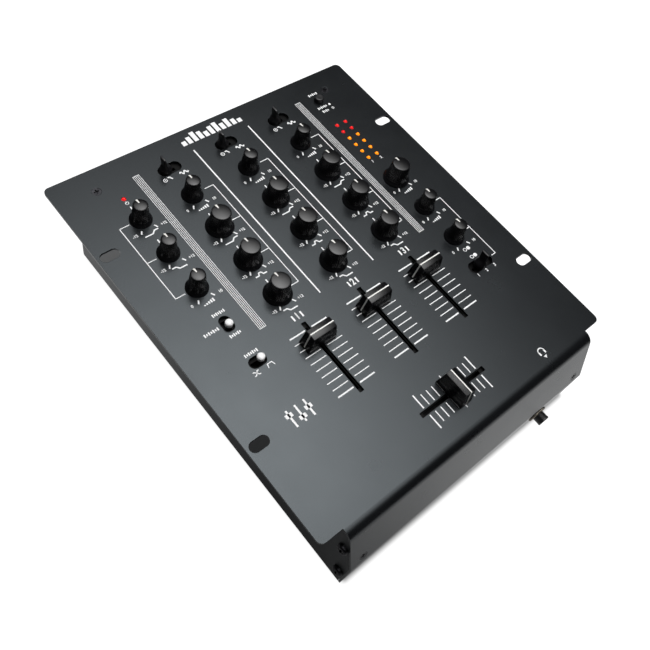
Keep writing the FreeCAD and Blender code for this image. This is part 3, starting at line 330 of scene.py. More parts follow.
def mesh_from(name, bm, smooth_angle=None):
    bmesh.ops.recalc_face_normals(bm, faces=bm.faces)
    bmesh.ops.scale(bm, vec=(MM, MM, MM), verts=bm.verts)
    mesh = bpy.data.meshes.new(name)
    bm.to_mesh(mesh)
    bm.free()
    if smooth_angle is not None:
        mesh.shade_smooth()
        mesh.set_sharp_from_angle(angle=math.radians(smooth_angle))
    return mesh


def skin(rings, bm=None, material=0, ends=True):
    """Skins a stack of equal-length point rings, into a bmesh if one is given."""
    bm = bm or bmesh.new()
    rows = [[bm.verts.new(p) for p in ring] for ring in rings]
    count = len(rings[0])
    faces = []
    for low, high in zip(rows, rows[1:]):
        for i in range(count):
            j = (i + 1) % count
            faces.append(bm.faces.new((low[i], low[j], high[j], high[i])))
    if ends:
        faces.append(bm.faces.new(rows[0][::-1]))
        faces.append(bm.faces.new(rows[-1]))
    for face in faces:
        face.material_index = material
    return bm


def lathe(profile, segments=64, wave=None, bm=None, material=0, closed=False, place=(0, 0)):
    """Turns (radius, height) points about the vertical; wave(angle, radius, height) adds to the radius."""
    rings = []
    for radius, z in profile:
        ring = []
        for i in range(segments):
            angle = 2 * math.pi * i / segments
            r = radius + (wave(angle, radius, z) if wave else 0.0)
            ring.append((place[0] + r * math.cos(angle), place[1] + r * math.sin(angle), z))
        rings.append(ring)
    if not closed:
        return skin(rings, bm, material)
    rings.append(rings[0])
    bm = bm or bmesh.new()
    before = set(bm.verts)
    skin(rings, bm, material, ends=False)
    added = [v for v in bm.verts if v not in before]
    bmesh.ops.remove_doubles(bm, verts=added, dist=1e-4)
    return bm


def arc_points(cx, cy, radius, start, end, steps):
    """Points on a circle from start to end degrees."""
    points = []
    for i in range(steps + 1):
        angle = math.radians(start + (end - start) * i / steps)
        points.append((cx + radius * math.cos(angle), cy + radius * math.sin(angle)))
    return points


def dome(radius, rise, z, degrees):
    """Quarter-ellipse outline as (radius, height), from its rim at height z towards its top."""
    angles = [math.radians(a) for a in degrees]
    return [(radius * math.cos(a), z + rise * math.sin(a)) for a in angles]


def smoothstep(x, low, high):
    t = max(0.0, min(1.0, (x - low) / (high - low)))
    return t * t * (3 - 2 * t)


# ------------------------ printed marks
INK_LOW = 0.006            # printed marks stand this far off the paint, in mm
INK_HIGH = 0.035
ROUND_STEPS = 20
FONT_SIZE = 1.38           # font size for figures of height 1
print_bm = bmesh.new()


def flat(points):
    """Closed thin prism from an outline of (x, y) points."""
    low = [print_bm.verts.new((x, y, INK_LOW)) for x, y in points]
    high = [print_bm.verts.new((x, y, INK_HIGH)) for x, y in points]
    print_bm.faces.new(low[::-1])
    print_bm.faces.new(high)
    for i in range(len(points)):
        j = (i + 1) % len(points)
        print_bm.faces.new((low[i], low[j], high[j], high[i]))


def line(points, width, loop=False):
    """Printed stroke of even width with mitred corners."""
    count = len(points)
    left = []
    right = []
    for i in range(count):
        here = Vector(points[i])
        before = Vector(points[i - 1]) if i > 0 or loop else None
        after = Vector(points[(i + 1) % count]) if i < count - 1 or loop else None
        first = (here - before).normalized() if before is not None else None
        second = (after - here).normalized() if after is not None else None
        along = ((first or second) + (second or first)).normalized()
        normal = Vector((-along.y, along.x))
        stretch = 1.0 / max(0.5, normal.dot(Vector((-(first or second).y, (first or second).x))))
        left.append(here + normal * width / 2 * stretch)
        right.append(here - normal * width / 2 * stretch)
    spans = range(count) if loop else range(count - 1)
    for i in spans:
        j = (i + 1) % count
        flat([tuple(right[i]), tuple(right[j]), tuple(left[j]), tuple(left[i])])


def stroke(x0, y0, x1, y1, width):
    line([(x0, y0), (x1, y1)], width)


def trace(x, y, points, width):
    """Stroke through points given about x, y."""
    line([(x + dx, y + dy) for dx, dy in points], width)


def rect(x, y, w, h):
    flat([(x - w / 2, y - h / 2), (x + w / 2, y - h / 2), (x + w / 2, y + h / 2), (x - w / 2, y + h / 2)])


def disc(x, y, r):
    flat(arc_points(x, y, r, 0, 360, ROUND_STEPS)[:-1])


def ring(x, y, r, width, start=0, end=360):
    full = end - start >= 360
    points = arc_points(x, y, r, start, end, ROUND_STEPS)
    line(points[:-1] if full else points, width, loop=full)


def digits(text, x, y, height, bold=0.06, squeeze=0.95):
    """Number printed with its middle at x, y."""
    curve = bpy.data.curves.new("digits", "FONT")
    curve.body = text
    curve.align_x = "CENTER"
    curve.align_y = "CENTER"
    curve.size = height * FONT_SIZE
    curve.offset = bold * height
    obj = new_object("digits", curve)
    mesh = bpy.data.meshes.new_from_object(obj.evaluated_get(bpy.context.evaluated_depsgraph_get()))
    bpy.data.objects.remove(obj)
    temp = bmesh.new()
    temp.from_mesh(mesh)
    bmesh.ops.remove_doubles(temp, verts=temp.verts, dist=1e-5)
    lift = bmesh.ops.extrude_face_region(temp, geom=temp.faces[:])
    top = [g for g in lift["geom"] if isinstance(g, bmesh.types.BMVert)]
    bmesh.ops.translate(temp, vec=(0, 0, INK_HIGH - INK_LOW), verts=top)
    place = Matrix.Translation((x, y, INK_LOW)) @ Matrix.Diagonal((squeeze, 1, 1, 1))
    bmesh.ops.transform(temp, matrix=place, verts=temp.verts)
    flat_mesh = bpy.data.meshes.new("digits_flat")
    temp.to_mesh(flat_mesh)
    temp.free()
    print_bm.from_mesh(flat_mesh)


# ------------------------ pictograms that stand for words
# Each is drawn in millimetres about its middle.
STROKE = 0.9
THIN = 0.5


def icon_high(x, y):
    """Level line that steps up at its right end."""
    trace(x, y, [(-5.5, -1.0), (0.5, -1.0), (2.5, 1.0), (5.5, 1.0)], STROKE)


def icon_mid(x, y):
    """Level line with a hump in its middle."""
    trace(x, y, [(-4.5, -0.9), (-1.8, -0.9), (-0.8, 1.0), (0.8, 1.0), (1.8, -0.9), (4.5, -0.9)], STROKE)


def icon_low(x, y):
    """Level line that steps down from its left end."""
    trace(x, y, [(-5.0, 1.0), (-2.2, 1.0), (-0.4, -1.0), (5.0, -1.0)], STROKE)


def icon_wedge(x, y):
    """Five bars growing to the right."""
    for i in range(5):
        h = 0.9 + 0.42 * i
        rect(x - 3.4 + 1.7 * i, y - 1.3 + h / 2, 1.1, h)


def icon_pair(x, y):
    """Open circle beside a full one."""
    ring(x - 1.3, y, 1.25, THIN)
    disc(x + 2.0, y, 1.5)


def icon_disc(x, y):
    """Record with its arm."""
    ring(x - 2.0, y, 1.3, THIN)
    disc(x - 2.0, y, 0.45)
    trace(x, y, [(0.4, 1.2), (1.9, 1.2), (3.2, -1.2)], STROKE)


def icon_wave(x, y):
    """Two waves of a tone."""
    trace(x, y, [(t, 1.1 * math.sin(t * math.pi / 1.6)) for t in [-3.2 + 0.4 * i for i in range(17)]], STROKE)


def icon_power(x, y):
    """Open ring with a short upright stroke."""
    ring(x, y, 1.1, 0.4, 120, 420)
    rect(x, y + 0.9, 0.4, 1.5)


def icon_bars(x, y, count, w):
    """Row of long and short bars in place of a word."""
    for i in range(count):
        rect(x + (i - (count - 1) / 2) * w / count, y, w / count * 0.62, 2.3 - 0.8 * (i % 2))


# ------------------------ panel print
# Sizes are in millimetres. Widths are those of printed lines.
TICK_REACH = {True: 11.1, False: 10.6}     # middle of the ticks round large and small knobs
TICK_W = 0.95
TICK_NUMBER = 2.1          # height of the numbers beside the ticks
NUMBER_DROP = 9.9          # those numbers' distance in front of the knob's middle
LABEL_DROP = {True: 13.2, False: 12.6}
BRACKET_W = 0.62
BRACKET_STUB = 7.0
BRACKETS = {"mic": -15.6, "channel": 17.1, "cue": 16.4}    # each line's distance from its knobs
DIVIDER_W = 1.0
DIVIDER_ENDS = (32.0, 14.5)    # past the first knob row and past the last
HATCH_X = 70.3
HATCH_SIZE = 4.6
HATCH_W = (0.36, 0.5)      # its upright lines and its ends
SCALE_STEP = 5.2           # channel fader scale
SCALE_REACH = (2.7, 15.0)  # its lines start and end this far from the slot's middle
SCALE_W = {True: 1.0, False: 0.62}     # end lines and the rest
CROSS_STEP = 4.74
CROSS_REACH = {True: 13.0, False: 10.6}    # end and middle lines, and the rest
CROSS_W = {True: 0.95, False: 0.72}
CHANNEL_MARK = 34.2        # channel number behind the middle of its slot
EMBLEM_BARS = (0.45, 0.7, 1.0, 0.8, 0.55, 0.85, 1.0, 0.65, 0.9, 0.6, 0.4)
EMBLEM_HEIGHT = 9.0
EMBLEM_PITCH = 4.75


KNOB_ICONS = {"treble": icon_high, "mid": icon_mid, "bass": icon_low, "gain": icon_wedge,
              "level": icon_wedge, "mix": icon_pair}


def knob_marks(name, kind, large):
    c = knob_centre(name)
    reach = TICK_REACH[large]
    tone = kind in ("treble", "mid", "bass")
    if tone:
        stroke(c.x, c.y + reach - 1.5, c.x, c.y + reach + 1.5, 0.9)
    stop = math.radians(JOINTS[name + "_turn"]["range_deg"][1])
    for side in (-1, 1):
        direction = Vector((side * math.sin(stop), math.cos(stop)))
        start = Vector((c.x, c.y)) + direction * (reach - 1.2)
        end = Vector((c.x, c.y)) + direction * (reach + 1.6)
        stroke(*start, *end, TICK_W)
    low, high = ("-12", "+12") if tone else ("0", "10")
    digits(low, c.x - 10.4, c.y - NUMBER_DROP, TICK_NUMBER)
    digits(high, c.x + 10.8, c.y - NUMBER_DROP, TICK_NUMBER)
    KNOB_ICONS[kind](c.x, c.y - LABEL_DROP[large])


def bracket(x, stubs):
    """Thin line down a column with a stub of its own length to each control."""
    stroke(x, stubs[0][0] + 0.3, x, stubs[-1][0] - 0.3, BRACKET_W)
    for y, reach in stubs:
        stroke(x, y, x + reach, y, BRACKET_W)


def print_brackets():
    middles = [knob_centre("mic" + part) for part in ("_treble", "_bass", "_gain")]
    bracket(middles[0].x + BRACKETS["mic"], [(c.y, BRACKET_STUB) for c in middles])
    for channel in CHANNELS:
        middles = [knob_centre(channel + part) for part in ("_gain", "_treble", "_mid", "_bass")]
        bracket(middles[0].x + BRACKETS["channel"], [(c.y, -BRACKET_STUB) for c in middles])
    stubs = [(knob_centre(n).y, -BRACKET_STUB) for n in ("cue_gain", "cue_mix")]
    stubs.append((centre("cue_lever").y + 0.4, -4.0))      # short, to clear the lever's swing
    bracket(knob_centre("cue_gain").x + BRACKETS["cue"], stubs)


def print_dividers():
    top = knob_centre("ch1_gain").y + DIVIDER_ENDS[0]
    bottom = knob_centre("ch1_bass").y - DIVIDER_ENDS[1]
    pitch = knob_centre("ch2_gain").x - knob_centre("ch1_gain").x
    for side in (-1, 1):
        stroke(side * pitch / 2, top, side * pitch / 2, bottom, DIVIDER_W)
        hatch(side * HATCH_X, bottom, top)


def hatch(x, bottom, top):
    """Bar of five fine lines, closed at both ends."""
    for i in range(5):
        lx = x - HATCH_SIZE / 2 + HATCH_SIZE * i / 4
        stroke(lx, bottom, lx, top, HATCH_W[0])
    for y in (bottom, top):
        stroke(x - HATCH_SIZE / 2 - 0.21, y, x + HATCH_SIZE / 2 + 0.21, y, HATCH_W[1])


def print_channel_fader(channel):
    node = channel + "_fader"
    mid = slot_middle(node, node + "_slide", 1)
    for i in range(10):
        y = mid.y + SCALE_STEP * 4.5 - SCALE_STEP * i
        for side in (-1, 1):
            near, far = [mid.x + side * reach for reach in SCALE_REACH]
            stroke(near, y, far, y, SCALE_W[i in (0, 9)])
    digits(channel[-1], mid.x, mid.y + CHANNEL_MARK, 5.2, 0.045, 0.8)
    for side in (-1, 1):
        rect(mid.x + side * 3.4, mid.y + CHANNEL_MARK, 1.2, 4.2)


def print_crossfader():
    mid = slot_middle("crossfader", "crossfader_slide", 0)
    for i in range(11):
        x = mid.x + CROSS_STEP * (i - 5)
        length = CROSS_REACH[i in (0, 5, 10)]
        for side in (-1, 1):
            stroke(x, mid.y + side * SCALE_REACH[0], x, mid.y + side * length, CROSS_W[i in (0, 10)])


def print_toggles():
    for channel in CHANNELS:
        c = knob_centre(channel + "_gain")
        icon_disc(c.x - 6.3, c.y + 19.0)
        icon_wave(c.x + 6.6, c.y + 19.0)
    cue = Vector(JOINTS["cue_select_tilt"]["pos_m"]) / MM
    icon_pair(cue.x, cue.y + 7.4)
    for i, mark in enumerate("123"):
        digits(mark, cue.x + (i - 1) * 8.4, cue.y - 6.4, 2.5)


def print_small_controls():
    """Marks round the power light and the two slide switches."""
    led = centre("power_led")
    icon_power(led.x, led.y - 4.0)
    mode = centre("mode_lever")
    for dx, dy, count, width in ((0.0, 10.6, 7, 9.4), (0.0, -7.0, 6, 8.4), (-11.4, 1.8, 7, 11.0)):
        icon_bars(mode.x + dx, mode.y + dy, count, width)
    slope = centre("slope_lever")
    icon_bars(slope.x - 2.0, slope.y + 6.6, 7, 10.0)
    for end in (1.3, -1.3):
        trace(slope.x - 7.3, slope.y - 6.2, [(-2.2, -end), (-1.2, -end), (1.2, end), (2.2, end)], 0.6)
    trace(slope.x + 3.2, slope.y - 6.2, [(-2.4, -1.3), (-1.6, 1.3), (1.6, 1.3), (2.4, -1.3)], 0.6)


def print_meter():
    red = centre("meter_leds_red")
    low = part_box("meter_leds_orange")[0]
    for side, mark in ((-1, "1"), (1, "2")):
        digits(mark, red.x + side * 4.2, low.y / MM - 2.8, 2.3)
    button = centre("meter_button")
    for dx, dy, count, width in ((0.0, 7.3, 5, 8.6), (-1.8, -6.7, 6, 9.0), (-1.8, -10.9, 4, 6.0)):
        icon_bars(button.x + dx, button.y + dy, count, width)
    disc(button.x + 5.4, button.y - 6.7, 1.0)
    ring(button.x + 5.4, button.y - 10.9, 0.85, 0.45)


def print_headphone_mark():
    """Headphones over an arrow that points at the socket on the front."""
    x = centre("headphone_jack").x
    y = PANEL_LOW.y / MM + 26.7
    ring(x, y - 0.4, 2.6, 0.75, 0, 180)
    for side in (-1, 1):
        rect(x + side * 2.3, y - 1.3, 1.35, 2.4)
    flat([(x - 1.5, y - 3.6), (x, y - 5.8), (x + 1.5, y - 3.6)])


def print_emblem():
    """Row of level bars across the rear edge, and three small faders at the lower left."""
    y = PANEL_HIGH.y / MM - 13.4
    for i, share in enumerate(EMBLEM_BARS):
        height = EMBLEM_HEIGHT * share
        rect(-28.0 + 2.2 + i * EMBLEM_PITCH, y + height / 2, 3.4, height)
    x = knob_centre("mic_gain").x
    y = centre("slope_lever").y - 41.0
    for i, lift in enumerate((2.4, -2.6, 0.6)):
        fx = x + (i - 1) * 6.6
        rect(fx, y, 1.3, 12.0)
        rect(fx, y + lift, 5.0, 2.8)


def panel_print():
    for node in KNOBS:
        name = node[:-5]
        knob_marks(name, name.split("_")[-1], is_large(node))
    print_brackets()
    print_dividers()
    for channel in CHANNELS:
        print_channel_fader(channel)
    print_crossfader()
    print_toggles()
    print_small_controls()
    print_meter()
    print_headphone_mark()
    print_emblem()
    piece("panel_print", mesh_from("panel_print", print_bm), ROOT, ["ink"])


# ------------------------ knobs
FLUTES = 24
KNOB_FLOOR = 0.3           # heights in mm above the faceplate
KNOB_RIM = 1.0             # top of the skirt's upright edge
KNOB_FOOT = 3.4            # where the skirt's flare has run out into the tapering body
CROWN_RISE = 0.5           # doming of the crown
POINTER_L = 3.4
LARGE_KNOB = (9.7, 7.9, 6.5, 15.9)     # radii of skirt, body foot and crown, and height
SMALL_KNOB = (7.55, 5.9, 4.8, 15.4)


def knob_profile(skirt, base, top, height):
    """Outer outline from under the skirt to the crown, as (radius, height)."""
    points = [(skirt - 1.6, KNOB_FLOOR + 0.2), (skirt - 1.2, KNOB_FLOOR), (skirt - 0.2, KNOB_FLOOR),
              (skirt, KNOB_FLOOR + 0.15), (skirt, KNOB_RIM - 0.25)]
    flare = skirt - 0.1 - base
    for t in (0.0, 0.15, 0.3, 0.45, 0.6, 0.75, 0.9):
        points.append((base + flare * (1 - t) ** 1.8, KNOB_RIM + (KNOB_FOOT - KNOB_RIM) * t))
    for t in (0.03, 0.1, 0.2, 0.4, 0.6, 0.8, 0.93):
        points.append((base + (top - base) * t, KNOB_FOOT + (height - KNOB_FOOT) * t))
    edge = height - CROWN_RISE
    points += [(top + 0.02, edge - 0.42), (top - 0.06, edge - 0.2), (top - 0.22, edge - 0.06),
               (top - 0.42, edge + 0.02)]
    for t in (0.85, 0.7, 0.55, 0.4, 0.2, 0.04):
        points.append((top * t, height - 0.03 - CROWN_RISE * t * t))
    return points


def knob_mesh(name, skirt, base, top, height):
    """Fluted knob with its white pointer, both closed meshes."""
    def wave(angle, radius, z):
        share = smoothstep(z, KNOB_FOOT, KNOB_FOOT + 0.8) * (1 - smoothstep(z, height - 0.5, height - 0.3))
        groove = (0.5 + 0.5 * math.cos(FLUTES * angle)) ** 3
        return -0.18 * share * groove

    profile = knob_profile(skirt, base, top, height)
    bm = lathe(profile, FLUTES * 8, wave)
    pointer(bm, profile, top, height)
    return mesh_from(name, bm, 40)


def pointer(bm, profile, top, height):
    """White insert across the crown, over the rear edge and down the side to the skirt."""
    path = [(r, z) for r, z in profile if z >= KNOB_FOOT and r > top - POINTER_L]
    inner_end = top - POINTER_L
    path.append((inner_end, height - 0.03 - CROWN_RISE * (inner_end / top) ** 2))
    rings = []
    for r, z in path:
        on_top = smoothstep(z, height - 1.2, height - 0.4)
        half = (0.4 + 0.35 * on_top) * (1 - 0.55 * max(0.0, top - 0.4 - r) / POINTER_L)
        lift = 0.1
        radial = 1.0 - smoothstep(z, height - CROWN_RISE - 0.3, height - CROWN_RISE)
        out = (r + lift * radial, z + lift * 0.6 * (1 - radial))
        inner = (r - 0.5 * radial, z - 0.5 * (1 - radial))
        rings.append([(-half, inner[0], inner[1]), (half, inner[0], inner[1]),
                      (half * 0.92, out[0], out[1]), (-half * 0.92, out[0], out[1])])
    skin(rings, bm, 1)


def knobs():
    large = knob_mesh("large_knob", *LARGE_KNOB)
    small = knob_mesh("small_knob", *SMALL_KNOB)
    for node in KNOBS:
        on_panel(node[:-5] + "_cap", large if is_large(node) else small, node, ["knob", "pointer"])


# ------------------------ fader caps
CAP_FLOOR = 0.9
CAP_SHOULDER = 13.9
CAP_RIDGE = 14.7
CAP_HALF = ((11.25, 5.2), (9.1, 4.0))     # half length and half width at the base and at the shoulder


def cap_half_length(z):
    share = (z - CAP_FLOOR) / (CAP_SHOULDER - CAP_FLOOR)
    return CAP_HALF[0][0] + (CAP_HALF[1][0] - CAP_HALF[0][0]) * share


def cap_outline():
    """Cross-section across the cap: sides, roof, and finger ribs on its rear half."""
    base, top = CAP_HALF[0][1], CAP_HALF[1][1]
    points = [(-base, CAP_FLOOR), (-top - 0.08, CAP_SHOULDER - 0.5), (-top + 0.12, CAP_SHOULDER - 0.05)]
    slope = (CAP_RIDGE - CAP_SHOULDER) / top
    for y in (-3.0, -2.0, -1.0, -0.45, 0.45):
        points.append((y, CAP_RIDGE - abs(y) * slope))
    ribs = 5
    for i in range(ribs):
        y = 0.75 + i * 0.6
        points += [(y, CAP_RIDGE - y * slope), (y + 0.12, CAP_RIDGE - y * slope - 0.2),
                   (y + 0.30, CAP_RIDGE - y * slope - 0.22), (y + 0.42, CAP_RIDGE - (y + 0.42) * slope)]
    points += [(top - 0.12, CAP_SHOULDER - 0.05), (top + 0.08, CAP_SHOULDER - 0.5), (base, CAP_FLOOR)]
    return points


def cap_mesh():
    """Cap with its long side along X: black body, white ridge line and white end lines."""
    outline = cap_outline()
    bm = bmesh.new()
    rounding = 0.3
    stations = ((-1, 0.0, rounding), (-1, rounding, 0.0), (1, rounding, 0.0), (1, 0.0, rounding))
    rings = []
    for side, inset, shrink in stations:
        ring = []
        for y, z in outline:
            top_share = smoothstep(z, CAP_FLOOR, CAP_SHOULDER)
            pull = shrink * 0.6
            yy = y - math.copysign(min(pull, abs(y)), y) if abs(y) > 3.5 else y
            zz = z - pull * top_share * (0.6 if z > 3 else 0.0)
            ring.append((side * (cap_half_length(min(z, CAP_SHOULDER)) - inset), yy, zz))
        rings.append(ring)
    skin(rings, bm)
    ridge = []
    lift = 0.07
    half = 0.4
    for side in (-1, 1):
        x = side * (cap_half_length(CAP_SHOULDER) + 0.04)
        ridge.append([(x, -half, CAP_RIDGE - 0.4), (x, half, CAP_RIDGE - 0.4),
                      (x, half, CAP_RIDGE + lift - 0.1), (x, 0.0, CAP_RIDGE + lift - 0.02),
                      (x, -half, CAP_RIDGE + lift - 0.1)])
    skin(ridge, bm, 1)
    for side in (-1, 1):
        rings = []
        for z in (CAP_FLOOR + 0.6, CAP_SHOULDER - 0.4, CAP_RIDGE - 0.1):
            x = cap_half_length(min(z, CAP_SHOULDER))
            w = 0.5
            rings.append([(side * (x - 0.5), -w, z), (side * (x - 0.5), w, z),
                          (side * (x + 0.06), w, z), (side * (x + 0.06), -w, z)])
        skin(rings, bm, 1)
    return mesh_from("fader_cap", bm, 28)


def blade_mesh():
    """Thin metal blade below the cap."""
    rings = []
    for z, w in ((-6.0, 2.0), (-5.8, 2.2), (1.4, 2.2), (1.6, 2.1)):
        rings.append([(-0.6, -w, z), (0.6, -w, z), (0.6, w, z), (-0.6, w, z)])
    return mesh_from("fader_blade", skin(rings))


def fader_caps():
    cap = cap_mesh()
    blade = blade_mesh()
    for node in [c + "_fader" for c in CHANNELS] + ["crossfader"]:
        turn = (0.0, 0.0, math.radians(90)) if node == "crossfader" else None
        on_panel(node + "_cap", cap, node, ["fader_cap", "pointer"], turn)
        on_panel(node + "_blade", blade, node, ["nut"], turn, replaces=False)


# ------------------------ levers, tips and button
SLIDE_TIP_R = 2.62


def middle_tilt(joint):
    """Angle from the middle of a joint's range to its rest position, in radians."""
    low, high = joint["range_deg"]
    return math.radians(-(low + high) / 2)


def superellipse(hx, hy, power, z):
    """Ring between an ellipse (power 2) and a rectangle (high powers), at height z."""
    points = []
    for i in range(40):
        angle = 2 * math.pi * i / 40
        c = math.cos(angle)
        s = math.sin(angle)
        points.append((math.copysign(abs(c) ** (2 / power), c) * hx,
                       math.copysign(abs(s) ** (2 / power), s) * hy, z))
    return points


def toggle_mesh(tip_half):
    """Dome that steps in to a thin upright paddle, flat blade below; height 0 is the panel top."""
    # height, half sizes along X and Y, power of the superellipse
    stations = [(-12.0, 1.1, 0.85, 4.0), (-1.3, 1.1, 0.85, 4.0), (-1.15, 3.7, 3.7, 2.0),
                (-0.6, 4.1, 4.1, 2.0), (0.2, 4.32, 4.32, 2.0), (1.0, 4.38, 4.38, 2.0), (2.0, 4.22, 4.3, 2.0),
                (3.0, 3.75, 4.05, 2.05), (3.8, 3.1, 3.75, 2.15), (4.4, 2.45, 3.5, 2.25),
                (4.9, 1.95, 3.3, 2.4), (5.5, 1.55, 3.12, 2.7), (6.5, 1.28, 3.0, 3.2)]
    for share in (0.3, 0.6, 0.85):
        stations.append((6.5 + 6.6 * share, 1.28 - 0.5 * share, 3.0 + (tip_half - 3.0) * share, 4.0 + share))
    stations += [(13.15, 0.72, tip_half, 5.0), (13.32, 0.62, tip_half - 0.1, 5.0),
                 (13.38, 0.5, tip_half - 0.22, 5.0)]
    rings = [superellipse(hx, hy, power, z) for z, hx, hy, power in stations]
    return mesh_from("toggle", skin(rings), 42)


def toggles():
    source = toggle_mesh(2.6)
    cue = toggle_mesh(3.0)
    for node in [c + "_source_lever" for c in CHANNELS] + ["cue_lever"]:
        body = body_of(node)
        joint = next(j for j in frame["joints"] if j["child"] == body)
        pivot = Vector(joint["pos_m"]) / MM
        spin = Matrix.Rotation(middle_tilt(joint), 4, "Y")
        place = pivot + spin @ Vector((0, 0, -pivot.z))
        mesh = cue if node == "cue_lever" else source
        piece(node + "_bat", mesh, body, ["lever"], place, spin.to_euler(), node)


def slide_tips():
    """White domed tip on a black stem, for both slide switches."""
    stem = [(1.2, -7.0), (1.7, -6.6), (1.7, 1.2), (1.9, 1.5)]
    tip = [(1.6, 1.35), (2.35, 1.4), (2.6, 1.7), (SLIDE_TIP_R, 2.3), (SLIDE_TIP_R, 3.7)]
    tip += dome(SLIDE_TIP_R, 1.6, 3.9, range(8, 90, 9))
    for node in ("mode_lever", "slope_lever"):
        white = mesh_from(node + "_tip", lathe(tip, 48), 40)
        on_panel(node + "_cap", white, node, ["white_tip"])
        black = mesh_from(node + "_stem", lathe(stem, 32), 40)
        on_panel(node + "_shank", black, node, ["lever"], replaces=False)


def meter_button():
    """Round button with a dished top and a collar that stays below the faceplate."""
    profile = [(3.4, -3.0), (4.4, -3.0), (4.45, -2.0), (3.6, -1.9), (3.58, 2.9), (3.5, 3.35), (3.25, 3.72),
               (2.9, 3.92), (2.4, 3.98), (1.6, 3.93), (0.8, 3.88), (0.1, 3.86)]
    mesh = mesh_from("meter_button", lathe(profile, 64), 35)
    on_panel("meter_button_cap", mesh, "meter_button", ["button"])


# ------------------------ lights
LED_HALF = 1.85            # half width of one light's CAD solid, in mm
LENS_R = 1.2


def led_lenses():
    """Small dome on a round base for every light, one piece for each CAD node."""
    profile = [(1.5, -4.0), (1.5, -0.55), (LENS_R, -0.35)]
    profile += dome(LENS_R, LENS_R, -0.3, range(5, 90, 10)) + [(0.05, 0.9)]
    low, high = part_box("meter_leds_red")
    columns = (low.x / MM + LED_HALF, high.x / MM - LED_HALF)
    red_rows = (high.y / MM - LED_HALF, low.y / MM + LED_HALF)
    low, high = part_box("meter_leds_orange")
    step = (high.y - low.y - 2 * LED_HALF * MM) / 3 / MM
    orange_rows = [high.y / MM - LED_HALF - step * i for i in range(4)]
    groups = (("meter_leds_red", [(x, y) for x in columns for y in red_rows], "red_led"),
              ("meter_leds_orange", [(x, y) for x in columns for y in orange_rows], "orange_led"),
              ("power_led", [tuple(centre("power_led"))[:2]], "red_led"))
    for node, places, slot in groups:
        bm = bmesh.new()
        for place in places:
            lathe(profile, 32, bm=bm, place=place)
        piece(node + "_lenses", mesh_from(node, bm, 40), ROOT, [slot], node=node)


# ------------------------ sockets
JACKS = (("headphone_jack", -1), ("mic_jack", 1))      # quarter-inch sockets and their way along Y
JACK_REACH = 7.7           # sleeve outside its sheet, in mm
JACK_SPARE = 0.2           # the CAD sleeve is this much longer
JACK_R = 4.5
JACK_BORE_R = 3.2


def upright_to_y(bm, out):
    """Turns a lathe built along +Z so that it points along +Y or -Y."""
    bmesh.ops.transform(bm, matrix=Matrix.Rotation(math.radians(-90 * out), 4, "X"), verts=bm.verts)


def threaded(radius, z0, z1, pitch=1.0, depth=0.28):
    """Thread outline between two heights, as (radius, height)."""
    points = []
    z = z0
    while z < z1 - pitch:
        points += [(radius, z), (radius, z + pitch * 0.2), (radius - depth, z + pitch * 0.5),
                   (radius - depth, z + pitch * 0.65), (radius, z + pitch * 0.95)]
        z += pitch
    return points


def jack_sheet(node, out):
    """Middle of the hole that a socket's sleeve comes out of, in millimetres."""
    low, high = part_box(node)
    place = centre(node)
    place.y = (low.y if out < 0 else high.y) / MM - out * (JACK_REACH + JACK_SPARE)
    return place


def jack_block(bm, half_x, half_z, back):
    """Moulded block behind the sheet, with chamfered ends; the lathe axis is its length."""
    chamfer = 0.6
    rings = []
    for z, inset in ((back, chamfer), (back + chamfer, 0.0), (-1.6 - chamfer, 0.0), (-1.6, chamfer)):
        x = half_x - inset
        y = half_z - inset
        rings.append([(-x, -y, z), (x, -y, z), (x, y, z), (-x, y, z)])
    skin(rings, bm)


def jacks():
    """Threaded sleeves with a contact ring inside and the moulded block behind the sheet."""
    for node, out in JACKS:
        low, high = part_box(node)
        size = (high - low) / MM
        inner = [(JACK_BORE_R, -2.0), (JACK_BORE_R, JACK_REACH - 0.5), (JACK_BORE_R + 0.35, JACK_REACH)]
        outer = [(JACK_R - 0.4, JACK_REACH), (JACK_R, JACK_REACH - 0.5)]
        outer += threaded(JACK_R, 0.3, JACK_REACH - 0.6)[::-1] + [(JACK_R - 0.05, -2.0)]
        bm = lathe(inner + outer, 64, closed=True)
        lathe([(3.3, -1.4), (3.3, -0.7), (2.9, -0.7), (2.9, -1.4)], 48, bm=bm, closed=True, material=1)
        jack_block(bm, size.x / 2, size.z / 2, JACK_REACH + JACK_SPARE - size.y)
        upright_to_y(bm, out)
        piece(node + "_sleeve", mesh_from(node, bm, 30), ROOT, ["jack", "jack_nut"],
              jack_sheet(node, out), node=node)


def jack_nuts():
    """Thin round nuts with a finely knurled rim; the first one also stands for the CAD node."""
    teeth = 48

    def knurl(angle, radius, z):
        return -0.14 * (0.5 + 0.5 * math.cos(teeth * angle)) if radius > 6.9 else 0.0

    profile = [(4.6, 0.0), (4.6, 1.2), (4.9, 1.55), (6.6, 1.6), (7.0, 1.4), (7.2, 1.1), (7.2, 0.25),
               (6.9, 0.0)]
    for node, out in JACKS:
        bm = lathe(profile, teeth * 4, knurl, closed=True)
        upright_to_y(bm, out)
        place = jack_sheet(node, out)
        place.y += out * 0.05
        piece(node + "_nut", mesh_from(node + "_nut", bm, 30), ROOT, ["jack_nut"], place,
              node="jack_nuts" if node == "headphone_jack" else None)


def mount_place(mount):
    return Vector(mount["pos_m"]) / MM


